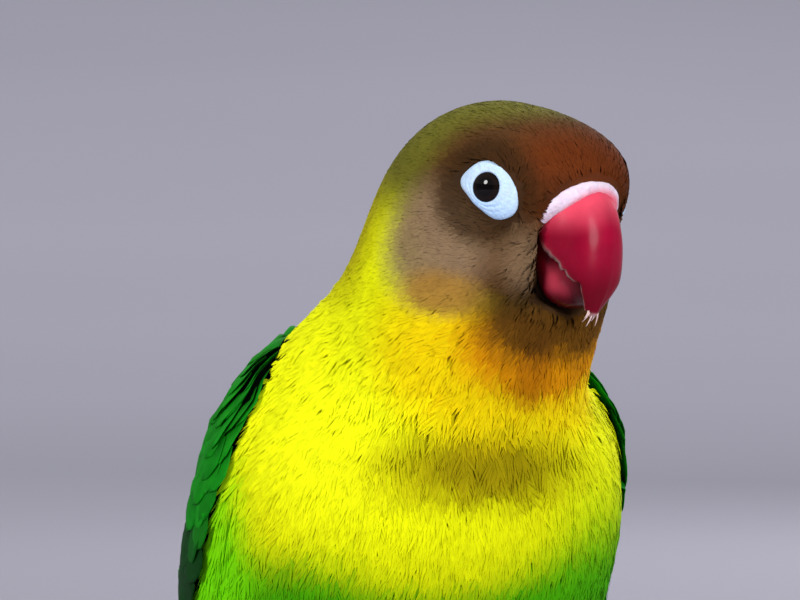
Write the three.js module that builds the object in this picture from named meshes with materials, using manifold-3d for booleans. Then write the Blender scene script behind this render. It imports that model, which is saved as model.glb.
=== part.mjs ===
// An eye-ring lovebird, life size, standing on the floor with its head turned to its left.
// Millimetres, +Z up. The bird faces -Y, its left side is +X, and the origin is at the bottom
// centre of its box. Feathered parts are drawn out to the tips of the plumage.

import * as THREE from 'three';
import { mergeVertices } from 'three/addons/utils/BufferGeometryUtils.js';
import Module from 'manifold-3d';

const wasm = await Module();
wasm.setup();

// Driving sizes
const CROWN_HEIGHT = 104;
const HEAD = { width: 25.5, length: 32.5, depth: 26.5, forward: 22, lean: 5.2 };
const TRUNK_WIDTH = 55;
const TRUNK_PITCH = 57;
const HEAD_YAW = 24;
const HEAD_PITCH = -10;
const GAP = 0.3;
const COARSE = 0.16;

// Places are pairs of forward and up
const CENTRE_LINE = { neckBase: [14, 72], belly: [-9, 38], tailMiddle: [-46, 11] };
const TAIL = { root: [-16, 29], middle: [-34, 15.2], tip: [-56.5, 0.45] };
const NECK = { low: [12.0, 69.5], high: [15.5, 80.5], pitch: 72 };
const HIP = { side: 10.5, forward: -1, up: 32 };
const ANKLE = { side: 10.3, forward: -6, up: 12 };
const FOOT = { side: 10.5, forward: 1.5, toeOut: 7, palm: 2.3, pad: 2.7 };
const EYE = { forward: 6.6, up: 3.8, ball: 3.2, bulge: 0.6, opening: 1.75 };
const RING = { long: 4.3, high: 3.1, tilt: -34, forward: 0.25, up: -0.45, bend: 0.042 };

// Colours
const PAINT = {
  brown: 0x5c3a1c, yellow: 0xe2e010, green: 0x2f8f1c, wing: 0x0f6a20, dark: 0x07301a, lime: 0x7cc81c,
  bill: 0xc22344, cere: 0xe8d8e6, ring: 0xd6e6fa, eye: 0x0c0a16, foot: 0x8f8a8c, claw: 0x3a3536,
};

const bird = new THREE.Group();

// A place from its distance to the bird's left, forward and up
const place = (side, forward, up) => new THREE.Vector3(side, -forward, up);
const degrees = THREE.MathUtils.degToRad;
const mix = THREE.MathUtils.lerp;

// Turning by a pitch up and then a yaw to the bird's left
function turned(pitch, yaw = 0) {
  const angles = new THREE.Euler(-degrees(pitch), 0, degrees(yaw), 'ZYX');
  return new THREE.Quaternion().setFromEuler(angles);
}

// A smooth curve through [position, value] pairs, as a function of the position
function profile(...pairs) {
  const curve = new THREE.SplineCurve(pairs.map(([along, value]) => new THREE.Vector2(along, value)));
  const spaced = curve.getPoints(pairs.length * 12);
  return (along) => {
    const next = spaced.findIndex((spot) => spot.x >= along);
    if (next < 0) return spaced[spaced.length - 1].y;
    if (next === 0) return spaced[0].y;
    const before = spaced[next - 1];
    const part = (along - before.x) / (spaced[next].x - before.x);
    return mix(before.y, spaced[next].y, part);
  };
}

// Solids

function solidFrom(geometry) {
  const bare = geometry.clone();
  bare.deleteAttribute('normal');
  bare.deleteAttribute('uv');
  const welded = mergeVertices(bare, 1e-4);
  const corners = Uint32Array.from(welded.index.array);
  if (signedVolume(welded) < 0) {
    for (let first = 0; first < corners.length; first += 3) {
      [corners[first + 1], corners[first + 2]] = [corners[first + 2], corners[first + 1]];
    }
  }
  const vertProperties = welded.attributes.position.array;
  return new wasm.Manifold(new wasm.Mesh({ numProp: 3, vertProperties, triVerts: corners }));
}

function signedVolume(geometry) {
  const places = geometry.attributes.position;
  const corner = [0, 1, 2].map(() => new THREE.Vector3());
  let total = 0;
  for (let first = 0; first < geometry.index.count; first += 3) {
    corner.forEach((spot, which) => spot.fromBufferAttribute(places, geometry.index.getX(first + which)));
    total += corner[0].dot(corner[1].clone().cross(corner[2])) / 6;
  }
  return total;
}

function geometryFrom(solid) {
  const mesh = solid.getMesh();
  const geometry = new THREE.BufferGeometry();
  geometry.setAttribute('position', new THREE.BufferAttribute(mesh.vertProperties, 3));
  geometry.setIndex(new THREE.BufferAttribute(mesh.triVerts, 1));
  geometry.computeVertexNormals();
  return geometry;
}

// The biggest body of a solid, without the crumbs that a cut leaves
function biggest(solid, coarseness) {
  const bodies = solid.simplify(coarseness).decompose();
  return bodies.reduce((most, body) => (body.volume() > most.volume() ? body : most));
}

function cut(solid, ...cutters) {
  return cutters.reduce((rest, cutter) => rest.subtract(cutter), solid);
}

function add(name, solid, color, roughness, coarseness = 0.04) {
  const material = new THREE.MeshStandardMaterial({ color, roughness, metalness: 0 });
  const mesh = new THREE.Mesh(geometryFrom(biggest(solid, coarseness)), material);
  mesh.name = name;
  bird.add(mesh);
}

// A geometry whose every point is moved by a function
function shaped(geometry, move) {
  const places = geometry.attributes.position;
  const spot = new THREE.Vector3();
  for (let which = 0; which < places.count; which += 1) {
    const moved = move(spot.fromBufferAttribute(places, which).clone());
    places.setXYZ(which, moved.x, moved.y, moved.z);
  }
  return solidFrom(geometry);
}

// A bar from a round rod of unit size: draw(along 0 to 1, across -1 to 1, over -1 to 1) places it
function bar(around, along, draw) {
  const rod = new THREE.CylinderGeometry(1, 1, 1, around, along);
  return shaped(rod, (spot) => draw(spot.y + 0.5, spot.x, spot.z));
}

// A bar along a curve, with half widths to the side and half depths square to it
function swept(curve, side, halfWidth, halfDepth, around, along, grown = 0) {
  return bar(around, along, (part, across, over) => {
    const spot = curve.getPoint(part);
    const ahead = curve.getTangent(part);
    const outward = new THREE.Vector3().crossVectors(ahead, side).normalize();
    const end = part < 0.01 ? -grown : part > 0.99 ? grown : 0;
    return spot
      .addScaledVector(side, across * (halfWidth(part) + grown))
      .addScaledVector(outward, over * (halfDepth(part) + grown))
      .addScaledVector(ahead, end);
  });
}

// Everything on one side of a plane through a point
function halfSpace(point, away) {
  const size = 300;
  const block = new THREE.BoxGeometry(size, size, size).translate(0, 0, size / 2);
  const facing = new THREE.Quaternion().setFromUnitVectors(new THREE.Vector3(0, 0, 1), away);
  return solidFrom(block.applyQuaternion(facing).translate(point.x, point.y, point.z));
}

const underFloor = halfSpace(place(0, 0, 0), new THREE.Vector3(0, 0, -1));

// Plumage as blended round lobes, each with its half sizes to the side, along and through

function lobe(centre, [side, long, deep], pitch, yaw = 0) {
  const back = turned(pitch, yaw).invert();
  const half = new THREE.Vector3(side, long, deep);
  return (spot) => {
    const local = spot.clone().sub(centre).applyQuaternion(back);
    const near = local.clone().divide(half).length();
    const slope = local.divide(half).divide(half).length();
    return slope < 1e-9 ? -deep : (near * (near - 1)) / slope;
  };
}

function blended(lobes, softness) {
  return (spot) => lobes.reduce((nearest, shape) => {
    const here = shape(spot);
    const overlap = Math.max(softness - Math.abs(nearest - here), 0) / softness;
    return Math.min(nearest, here) - (overlap * overlap * softness) / 4;
  }, 1e3);
}

// How far the plumage reaches from a point within it
function reach(plumage, from, ahead, farthest = 60) {
  let inside = 0;
  let outside = farthest;
  for (let halving = 0; halving < 22; halving += 1) {
    const middle = (inside + outside) / 2;
    if (plumage(from.clone().addScaledVector(ahead, middle)) < 0) inside = middle;
    else outside = middle;
  }
  return inside;
}

function ball(plumage, centre, detail) {
  return shaped(new THREE.IcosahedronGeometry(1, detail), (spot) => {
    const ahead = spot.normalize();
    return centre.clone().addScaledVector(ahead, reach(plumage, centre, ahead));
  });
}

const headCentre = place(HEAD.lean, HEAD.forward, CROWN_HEIGHT - HEAD.depth / 2);
const headTurn = turned(HEAD_PITCH, HEAD_YAW);

// A place on the turned head, from its centre
const onHead = (side, forward, up) => place(side, forward, up).applyQuaternion(headTurn).add(headCentre);
const headSide = place(1, 0, 0).applyQuaternion(headTurn);

const headLobes = [
  lobe(onHead(0, -0.7, 0), [HEAD.width / 2, HEAD.length / 2 - 1.9, HEAD.depth / 2], HEAD_PITCH, HEAD_YAW),
  lobe(onHead(0, -1.4, -5.0), [12.5, 13.9, 10.4], HEAD_PITCH, HEAD_YAW),
  lobe(onHead(0, -4.2, 2.0), [11.2, 11.6, 8.7], 12, HEAD_YAW),
  lobe(onHead(0, 6.0, 5.1), [11.3, 8.8, 7.1], HEAD_PITCH, HEAD_YAW),
];
const trunkLobes = [
  lobe(place(HEAD.lean / 2, 14.9, 75.5), [15.4, 17.3, 15.5], 74),
  lobe(place(-3.2, 6.0, 71), [15, 12.4, 10.3], 50),
  lobe(place(HEAD.lean / 3, 4.0, 63.5), [TRUNK_WIDTH / 2 - 4.8, 14, 16.5], 60),
  lobe(place(0, 5, 54), [TRUNK_WIDTH / 2 - 1.9, 21, 20], 61),
  lobe(place(0.4, -3.5, 42), [TRUNK_WIDTH / 2 - 1.4, 22, 19], TRUNK_PITCH),
  lobe(place(0, -18, 29), [13, 17, 11], 48),
  lobe(place(0, -28, 20.5), [8, 15, 4.8], 40),
];
const tailBed = lobe(place(0, -33, 19), [8, 22, 5.5], 39);
const headShape = blended(headLobes, 3);
const trunkShape = blended(trunkLobes, 5);
const plumage = blended([headShape, trunkShape], 9);
const wingBed = blended([headShape, trunkShape, tailBed], 9);

// The line through neck, trunk and tail that the wings are measured from
const midline = (places) => Object.values(places).map(([forward, up]) => place(0, forward, up));
const centreLine = new THREE.QuadraticBezierCurve3(...midline(CENTRE_LINE));

// A place on the wing's bed, at an angle from the middle of the back, and so far off the bed
function onBed(part, angle, hand, off) {
  const from = centreLine.getPoint(part);
  const ahead = centreLine.getTangent(part);
  const back = new THREE.Vector3().crossVectors(place(1, 0, 0), ahead).normalize();
  const out = back.multiplyScalar(Math.cos(degrees(angle)));
  out.addScaledVector(place(hand, 0, 0), Math.sin(degrees(angle)));
  return from.addScaledVector(out, reach(wingBed, from, out) + off);
}

// A folded blade of feathers on the bed, between a lower and an upper edge angle
function blade(blueprint, hand, grown = 0) {
  const { start, end, lower, upper, thick, sunk } = blueprint;
  return bar(14, blueprint.rows, (share, across, over) => {
    const along = (1 - Math.cos(Math.PI * share)) / 2;
    const part = mix(start, end, along);
    const margin = grown / 0.2;
    const middle = (lower(along) + upper(along)) / 2;
    const half = (lower(along) - upper(along)) / 2 + margin;
    const lengthwise = share < 0.01 ? -grown / 60 : share > 0.99 ? grown / 60 : 0;
    const off = thick(along) / 2 - sunk + over * (thick(along) / 2 + grown);
    return onBed(part + lengthwise, middle - across * half, hand, off);
  });
}

const wingShape = {
  start: 0.05,
  end: 0.76,
  rows: 17,
  lower: profile([0, 66], [0.06, 82], [0.18, 93], [0.4, 98], [0.6, 90], [0.75, 72], [0.9, 46], [1, 28]),
  upper: profile([0, 44], [0.06, 30], [0.18, 18], [0.4, 10], [0.7, 8], [0.93, 12], [1, 20]),
  thick: profile([0, 1.6], [0.08, 3.6], [0.3, 4.8], [0.7, 3.8], [0.93, 1.8], [1, 0.8]),
  sunk: 1.2,
};
const primariesShape = {
  start: 0.34,
  end: 0.98,
  rows: 12,
  lower: profile([0, 76], [0.1, 98], [0.3, 102], [0.45, 96], [0.6, 82], [0.75, 64], [0.9, 46], [1, 26]),
  upper: profile([0, 55], [0.1, 40], [0.3, 20], [0.6, 9], [0.88, 9], [1, 16]),
  thick: profile([0, 0.9], [0.15, 1.9], [0.6, 1.8], [1, 0.8]),
  sunk: 0.6,
};

const hands = { left: 1, right: -1 };
const wings = {};
const primaries = {};
for (const [name, hand] of Object.entries(hands)) {
  wings[name] = { body: blade(wingShape, hand), room: blade(wingShape, hand, GAP) };
  primaries[name] = { body: blade(primariesShape, hand), room: blade(primariesShape, hand, GAP) };
}

// Tail: a short rounded fan, laid with its tip on the floor
const tailLine = new THREE.QuadraticBezierCurve3(...midline(TAIL));
const tailWidth = profile([0, 5], [0.3, 7.6], [0.65, 9.2], [0.82, 8.8], [0.93, 6.6], [1, 3.0]);
const tailDepth = profile([0, 3.4], [0.35, 2.6], [0.7, 1.4], [1, 0.9]);
const tail = (grown) => swept(tailLine, place(1, 0, 0), tailWidth, tailDepth, 16, 14, grown);

// Legs and feet

function legParts(hand) {
  const hip = place(hand * HIP.side, HIP.forward, HIP.up);
  const ankle = place(hand * ANKLE.side, ANKLE.forward, ANKLE.up);
  const palm = place(hand * FOOT.side, FOOT.forward, FOOT.palm);
  const thighLine = new THREE.LineCurve3(hip, ankle);
  const shankLine = new THREE.LineCurve3(ankle.clone().lerp(palm, 0.04), palm);
  const thighSize = profile([0, 3], [0.2, 6.2], [0.5, 6.6], [0.8, 4.6], [1, 2.6]);
  const shankSize = profile([0, 1.9], [0.25, 1.65], [0.7, 1.6], [1, 2.1]);
  const across = place(1, 0, 0);
  const pad = (radius) => {
    const round = new THREE.SphereGeometry(radius, 8, 6).scale(1, 1, 0.9);
    return solidFrom(round.translate(palm.x, palm.y, palm.z));
  };
  const thigh = (grown) => swept(thighLine, across, thighSize, thighSize, 12, 6, grown);
  const shank = swept(shankLine, across, shankSize, shankSize, 8, 3).add(pad(FOOT.pad));
  return { thigh, shank, palm, padRoom: pad(FOOT.pad + GAP) };
}

// Two toes forward and two back, each an arched row of pads with a curved claw
const toes = [
  { name: 'inner_front', yaw: -33, length: 10.5, size: 1.3, claw: 4.2 },
  { name: 'outer_front', yaw: 27, length: 15.5, size: 1.45, claw: 4.8 },
  { name: 'outer_back', yaw: 155, length: 13.5, size: 1.4, claw: 4.6 },
  { name: 'inner_back', yaw: 209, length: 8, size: 1.25, claw: 3.8 },
];

function toeParts(toe, hand, palm) {
  const ahead = place(0, 1, 0).applyQuaternion(turned(0, hand * (toe.yaw + FOOT.toeOut)));
  const across = new THREE.Vector3().crossVectors(ahead, place(0, 0, 1)).normalize();
  const spot = (along, up) => palm.clone().setZ(up).addScaledVector(ahead, along);
  const toeLine = new THREE.CatmullRomCurve3([
    spot(2.0, FOOT.palm - 0.4),
    spot(toe.length * 0.38, toe.size * 0.86),
    spot(toe.length * 0.7, toe.size * 0.76),
    spot(toe.length, toe.size * 0.56),
  ]);
  const pads = (part) => toe.size * mix(1.02, 0.82, part) * (1 + 0.09 * Math.cos(part * 6 * Math.PI));
  const tipSize = (part) => pads(part) * (part > 0.95 ? 0.62 : 1);
  const clawStart = spot(toe.length + GAP, toe.size * 0.8);
  const clawTop = spot(toe.length + toe.claw * 0.72, toe.size * 1.25);
  const clawEnd = spot(toe.length + toe.claw, 0.4);
  const clawLine = new THREE.QuadraticBezierCurve3(clawStart, clawTop, clawEnd);
  const clawSize = profile([0, 0.78], [0.5, 0.58], [1, 0.16]);
  return {
    toe: swept(toeLine, across, tipSize, tipSize, 8, 5),
    claw: swept(clawLine, across, clawSize, (part) => clawSize(part) * 1.1, 6, 4),
  };
}

// Bill, cere and the bare rings round the eyes, placed on the turned head

const headLine = (...pairs) => {
  const spots = pairs.map(([forward, up]) => onHead(0, forward, up));
  return new THREE.CatmullRomCurve3(spots);
};
const ridge = headLine([15.0, 5.1], [17.1, 1.6], [18.1, -1.8], [18.2, -5.4], [17.0, -9.6]);
const cuttingEdge = headLine([10.9, -0.4], [12.8, -3.0], [14.9, -4.6], [16.3, -6.5], [16.5, -9.5]);
const upperWidth = profile([0, 5.0], [0.3, 4.7], [0.5, 3.9], [0.72, 2.6], [0.9, 1.2], [1, 0.5]);
const lowerLine = headLine([10.5, -3.4], [12.0, -6.6], [13.5, -9.1]);
const lowerWidth = profile([0, 4.3], [0.5, 4.2], [0.85, 3.4], [1, 2.1]);
const lowerDepth = profile([0, 2.4], [0.5, 2.3], [0.85, 1.8], [1, 1.1]);
const lowerBill = (grown) => swept(lowerLine, headSide, lowerWidth, lowerDepth, 12, 6, grown);

// Sections of the upper bill arch from one cutting edge over the ridge to the other
const upperBill = (grown) => bar(16, 11, (part, across, over) => {
  const spot = cuttingEdge.getPoint(part);
  const arch = ridge.getPoint(part).sub(spot);
  const height = arch.length();
  const ahead = new THREE.Vector3().crossVectors(headSide, arch).normalize();
  const end = part < 0.01 ? -grown : part > 0.99 ? grown : 0;
  const rise = over > 0 ? over * (height + grown) : over * (height * 0.15 + grown);
  return spot
    .addScaledVector(arch.normalize(), rise)
    .addScaledVector(headSide, across * (upperWidth(part) + grown))
    .addScaledVector(ahead, end);
});

// Half of the cere's arc over the bill, from its corner up to the middle
const cereHalf = [[5.2, 11.4, 0.1], [5.0, 12.8, 2.1], [3.2, 14.3, 4.4]];
const cereRight = cereHalf.map(([side, forward, up]) => onHead(-side, forward, up));
const cereLeft = cereHalf.map(([side, forward, up]) => onHead(side, forward, up)).reverse();
const cereLine = new THREE.CatmullRomCurve3([...cereRight, onHead(0, 14.9, 5.3), ...cereLeft]);
const cereSize = profile([0, 0.5], [0.25, 1.1], [0.5, 0.9], [0.75, 1.1], [1, 0.5]);
const cereFacing = onHead(0, 1, 0.6).sub(headCentre).normalize();
const cere = (grown) => swept(cereLine, cereFacing, cereSize, cereSize, 6, 12, grown);

function eyeParts(hand) {
  const outward = onHead(hand * 0.93, 0.32, 0.14).sub(headCentre).normalize();
  const within = onHead(hand * 4, EYE.forward - 2, EYE.up - 0.8);
  const centre = within.addScaledVector(outward, reach(plumage, within, outward) - 0.5);
  const fore = onHead(0, 1, 0).sub(headCentre);
  fore.addScaledVector(outward, -fore.dot(outward)).normalize();
  const above = new THREE.Vector3().crossVectors(fore, outward).multiplyScalar(hand);
  const tilt = degrees(RING.tilt);
  const long = fore.clone().multiplyScalar(Math.cos(tilt)).addScaledVector(above, Math.sin(tilt));
  const basis = new THREE.Matrix4().makeBasis(long, outward, long.clone().cross(outward));
  const facing = new THREE.Quaternion().setFromRotationMatrix(basis);
  const ringCentre = centre.clone().addScaledVector(fore, RING.forward).addScaledVector(above, RING.up);
  const seat = (geometry, spot) => {
    const seated = geometry.applyQuaternion(facing).translate(spot.x, spot.y, spot.z);
    return solidFrom(seated);
  };
  const ring = (grown) => {
    const under = [[0, -1.6 - grown], [0.9, -1.6 - grown], [1, -0.5]];
    const over = [[0.93, 0.3 + grown], [0.6, 0.68 + grown], [0, 0.9 + grown]];
    const radius = RING.high + grown;
    const outline = [...under, ...over].map(([out, up]) => new THREE.Vector2(out * radius, up));
    const disc = new THREE.LatheGeometry(outline, 14).scale(RING.long / RING.high, 1, 1);
    const places = disc.attributes.position;
    for (let which = 0; which < places.count; which += 1) {
      const out = Math.hypot(places.getX(which), places.getZ(which));
      places.setY(which, places.getY(which) - RING.bend * out * out);
    }
    return seat(disc, ringCentre);
  };
  const ballCentre = centre.clone().addScaledVector(outward, EYE.bulge - EYE.ball);
  const eyeBall = (grown, detail = 2) => {
    const round = new THREE.IcosahedronGeometry(EYE.ball + grown, detail);
    return seat(round, ballCentre);
  };
  const opening = seat(new THREE.CylinderGeometry(EYE.opening, EYE.opening, 9, 14), centre);
  return { ring, eyeBall, opening };
}

// The cuts between head, neck and trunk, square to the neck
const neckAlong = place(0, 1, 0).applyQuaternion(turned(NECK.pitch));
const headCut = place(0, ...NECK.high);
const trunkCut = place(0, ...NECK.low);

function buildBody() {
  const neckTurn = new THREE.Quaternion().setFromUnitVectors(new THREE.Vector3(0, 1, 0), neckAlong);
  const neck = bar(28, 3, (part, across, over) => {
    const from = trunkCut.clone().lerp(headCut, part);
    const radius = Math.hypot(across, over);
    if (radius < 0.5) return from;
    const ahead = new THREE.Vector3(across / radius, 0, over / radius).applyQuaternion(neckTurn);
    return from.addScaledVector(ahead, reach(plumage, from, ahead, 40));
  });
  const down = neckAlong.clone().negate();
  const overHead = halfSpace(headCut.clone().addScaledVector(neckAlong, GAP), down);
  const overTrunk = halfSpace(trunkCut.clone().addScaledVector(down, GAP), neckAlong);
  const head = cut(ball(plumage, headCentre, 5), overHead);
  const trunk = cut(ball(plumage, place(0, 0, 48), 7), overTrunk);
  return { neck, head, trunk };
}

const { neck, head, trunk } = buildBody();
const eyes = { left: eyeParts(1), right: eyeParts(-1) };
const legs = { left: legParts(1), right: legParts(-1) };
const sides = Object.keys(hands);

const faceRoom = [upperBill(GAP), lowerBill(GAP), cere(1.6 * GAP)];
const eyeRoom = sides.flatMap((name) => [eyes[name].ring(GAP), eyes[name].eyeBall(2 * GAP, 1)]);
const wingRoom = sides.flatMap((name) => [wings[name].room, primaries[name].room]);
add('head', cut(head, ...faceRoom, ...eyeRoom), PAINT.brown, 0.9, COARSE);
add('neck', cut(neck, ...wingRoom), PAINT.yellow, 0.9, COARSE);
add('trunk', cut(trunk, ...wingRoom, tail(GAP), ...sides.map((name) => legs[name].thigh(GAP))),
  PAINT.lime, 0.9, COARSE);
add('tail', cut(tail(0), ...wingRoom, underFloor), PAINT.green, 0.8, COARSE);
add('cere', cut(cere(0), upperBill(GAP), lowerBill(GAP)), PAINT.cere, 0.6);
add('bill_upper', upperBill(0), PAINT.bill, 0.3);
add('bill_lower', cut(lowerBill(0), upperBill(GAP)), PAINT.bill, 0.35);

for (const [name, hand] of Object.entries(hands)) {
  const { ring, eyeBall, opening } = eyes[name];
  add(`eye_ring_${name}`, cut(ring(0), eyeBall(1.5 * GAP, 1), opening), PAINT.ring, 0.6);
  add(`eye_${name}`, eyeBall(0), PAINT.eye, 0.05);
  add(`wing_${name}`, wings[name].body, PAINT.wing, 0.8, COARSE);
  add(`primaries_${name}`, cut(primaries[name].body, wings[name].room), PAINT.dark, 0.75, COARSE);
  const { thigh, shank, palm, padRoom } = legs[name];
  add(`thigh_${name}`, thigh(0), PAINT.lime, 0.9, COARSE);
  add(`shank_${name}`, cut(shank, thigh(GAP), underFloor), PAINT.foot, 0.7);
  for (const toe of toes) {
    const made = toeParts(toe, hand, palm);
    add(`toe_${toe.name}_${name}`, cut(made.toe, padRoom, underFloor), PAINT.foot, 0.7);
    add(`claw_${toe.name}_${name}`, made.claw, PAINT.claw, 0.4);
  }
}

// The origin goes to the bottom centre of the whole bird
const middle = new THREE.Box3().setFromObject(bird).getCenter(new THREE.Vector3());
bird.position.set(-middle.x, -middle.y, 0);

export default bird;
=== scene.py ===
# An eye-ring lovebird, life size, in full plumage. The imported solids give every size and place.
# A smooth skin takes the place of the flesh, and the plumage over it is a mesh of fine strands
# and vanes that follow the lie of the feathers. Body measures below are in millimetres.

import math

import bpy
import numpy as np
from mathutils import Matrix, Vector
from mathutils.bvhtree import BVHTree
from mathutils.kdtree import KDTree


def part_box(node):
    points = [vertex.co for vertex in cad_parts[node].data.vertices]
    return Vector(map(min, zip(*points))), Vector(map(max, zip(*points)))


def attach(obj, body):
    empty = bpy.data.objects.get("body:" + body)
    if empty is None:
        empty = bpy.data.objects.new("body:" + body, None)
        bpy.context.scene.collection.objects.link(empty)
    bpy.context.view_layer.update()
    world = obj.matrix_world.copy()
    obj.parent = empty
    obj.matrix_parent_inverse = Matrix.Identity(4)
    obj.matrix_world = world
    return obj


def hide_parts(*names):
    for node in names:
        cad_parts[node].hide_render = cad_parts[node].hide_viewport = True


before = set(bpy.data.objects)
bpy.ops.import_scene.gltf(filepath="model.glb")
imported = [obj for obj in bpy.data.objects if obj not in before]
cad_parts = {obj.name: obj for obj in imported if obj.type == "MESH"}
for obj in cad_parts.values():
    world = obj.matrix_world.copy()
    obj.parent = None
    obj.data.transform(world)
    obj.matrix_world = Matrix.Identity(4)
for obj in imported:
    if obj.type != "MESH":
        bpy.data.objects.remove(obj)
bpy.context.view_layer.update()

bl_info = {
    "name": "Eye-ring Lovebird",
    "version": (1, 0, 0),
    "blender": (4, 5, 0),
    "location": "3D View > Sidebar > Lovebird",
    "description": "Builds the skin, plumage, bill, eyes and feet of a life-size lovebird",
    "category": "Object",
}

MM = 0.001
HANDS = {"left": 1, "right": -1}
TOES = ("inner_front", "outer_front", "outer_back", "inner_back")


# Colours and small sums


def linear(hexed):
    """An sRGB hex colour as linear red, green and blue"""
    parts = [int(hexed[first:first + 2], 16) / 255 for first in (0, 2, 4)]
    return tuple(part / 12.92 if part <= 0.04045 else ((part + 0.055) / 1.055) ** 2.4 for part in parts)


def smooth(low, high, value):
    """0 below low, 1 above high, and an even curve between"""
    part = np.clip((value - low) / (high - low), 0.0, 1.0)
    return part * part * (3.0 - 2.0 * part)


def mix(low, high, part):
    return low + (high - low) * part


def length_of(vectors):
    return np.linalg.norm(vectors, axis=-1)


def unit(vectors):
    return vectors / np.maximum(length_of(vectors), 1e-12)[..., None]


def dot(first, second):
    return (first * second).sum(-1)


def nearness(places, centre, half):
    """How far places are from a centre, counted in half sizes"""
    return length_of((places - centre) / half)


def turns(around):
    """Even steps of one full turn"""
    return np.arange(around) * 2 * math.pi / around


def bend(line, part):
    """A place on the smooth bend that three points shape, and the way it runs there"""
    first, middle, last = line
    place = (1 - part) ** 2 * first + 2 * part * (1 - part) * middle + part ** 2 * last
    return place, unit(2 * (1 - part) * (middle - first) + 2 * part * (last - middle))


# The head's own frame, from the two eyes

HEAD_PITCH = math.radians(-10)
EYES_AHEAD = 6.18
EYES_UP = 3.69


def middle_of(node):
    low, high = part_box(node)
    return np.array((low + high) / 2) / MM


EYES = {hand: middle_of(f"eye_{hand}") for hand in HANDS}
EYES_MIDDLE = (EYES["left"] + EYES["right"]) / 2
HEAD_SIDE = unit(EYES["left"] - EYES["right"])
HEAD_YAW = math.atan2(HEAD_SIDE[1], HEAD_SIDE[0])
HEAD_AHEAD = np.array((
    math.sin(HEAD_YAW) * math.cos(HEAD_PITCH),
    -math.cos(HEAD_YAW) * math.cos(HEAD_PITCH),
    math.sin(HEAD_PITCH),
))
HEAD_UP = np.cross(HEAD_SIDE, -HEAD_AHEAD)
HEAD_AXES = np.stack((HEAD_SIDE, HEAD_AHEAD, HEAD_UP))
HEAD_CENTRE = EYES_MIDDLE - EYES_AHEAD * HEAD_AHEAD - EYES_UP * HEAD_UP


def to_head(points):
    """Places as distances to the head's left, ahead and up from its centre"""
    return (points - HEAD_CENTRE) @ HEAD_AXES.T


def from_head(side, ahead, up):
    """Places at distances to the head's left, ahead and up, as numbers or as arrays"""
    return HEAD_CENTRE + np.stack((side, ahead, up), -1) @ HEAD_AXES


# Settings that a user would change


def colour(name, description, hexed):
    return bpy.props.FloatVectorProperty(
        name=name, description=description, default=linear(hexed), subtype="COLOR", min=0.0, max=1.0
    )


def measure(name, description, millimetres):
    return bpy.props.FloatProperty(
        name=name, description=description, default=millimetres * MM, subtype="DISTANCE", unit="LENGTH"
    )


class LovebirdSizes(bpy.types.PropertyGroup):
    voxel: measure("Skin voxel", "Grain of the remeshed skin", 0.55)
    join: measure("Join", "How far pieces of flesh grow to close the cuts between them", 0.35)
    face_spacing: measure("Face spacing", "Distance between tufts on the head", 0.5)
    body_spacing: measure("Body spacing", "Distance between tufts on the body", 0.8)
    strand: measure("Strand", "Width of one strand on the body", 0.32)
    face_strand: measure("Face strand", "Width of one strand on the head", 0.25)
    covert: measure("Covert", "Width of a small wing feather", 4.2)
    camera_distance: measure("Camera distance", "From the camera to the plane through the eyes", 800)


class LovebirdColours(bpy.types.PropertyGroup):
    yellow: colour("Yellow", "Breast and collar", "ebf004")
    # Painted light: the brighter yellow high on the breast stands for where the light falls
    bright: colour("Bright yellow", "Shoulder side of the breast", "faff10")
    # Painted shadow: the olive under the chin stands for the chin's shadow on the breast
    chin_shadow: colour("Chin shadow", "Olive shade across the breast", "948201")
    lime: colour("Lime", "Flanks", "7cee04")
    belly: colour("Belly green", "Belly, thighs and under the tail", "4aae02")
    mantle: colour("Mantle green", "Back between the wings", "2c7a10")
    rump: colour("Rump", "Blue-grey of the rump", "4a7f86")
    wing: colour("Wing green", "Wing coverts", "048610")
    flight: colour("Flight black", "Flight feathers", "06210c")
    olive: colour("Olive", "Crown and nape", "6a6720")
    nape: colour("Nape yellow", "Back of the neck", "a8a008")
    mask: colour("Mask brown", "Head mask", "55371a")
    rufous: colour("Rufous", "Forehead and lores", "6a2c0c")
    dark: colour("Dark brown", "Round the eye and on the chin", "38230f")
    cheek: colour("Cheek", "Grey-brown ear coverts", "8c7256")
    ginger: colour("Ginger", "Lower edge of the cheek", "a87c34")
    orange: colour("Orange", "Throat", "d88404")
    amber: colour("Amber", "Dark wedge below the chin", "a86004")
    gold: colour("Gold", "Neck below the throat", "ffdc04")
    horn: colour("Bill red", "Upper bill", "a00830")
    horn_light: colour("Bill pink", "Bill near the cere", "f05068")
    horn_dark: colour("Bill dark", "Lower bill and tip", "640012")
    horn_pale: colour("Bill tip", "Worn tip and edges", "e8c8c4")
    cere: colour("Cere", "Bare skin over the bill", "f0dcee")
    ring: colour("Eye ring", "Bare skin round the eye", "c8e2fd")
    iris: colour("Iris", "Dark brown iris", "1c0e0a")
    leg: colour("Leg", "Scaly grey skin of the feet", "8c8688")
    claw: colour("Claw", "Dark horn of the claws", "2e2a2c")
    backdrop: colour("Backdrop", "Floor and wall", "a4a1ae")


def sizes():
    return bpy.context.scene.lovebird_sizes


def palette(name):
    return np.array(getattr(bpy.context.scene.lovebird_colours, name))


# The markings, laid over one another in order: colour, frame, centre, half sizes, softness, strength.
# The head frame and the body frame are the same on both sides, and the world frame isn't.

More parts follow.
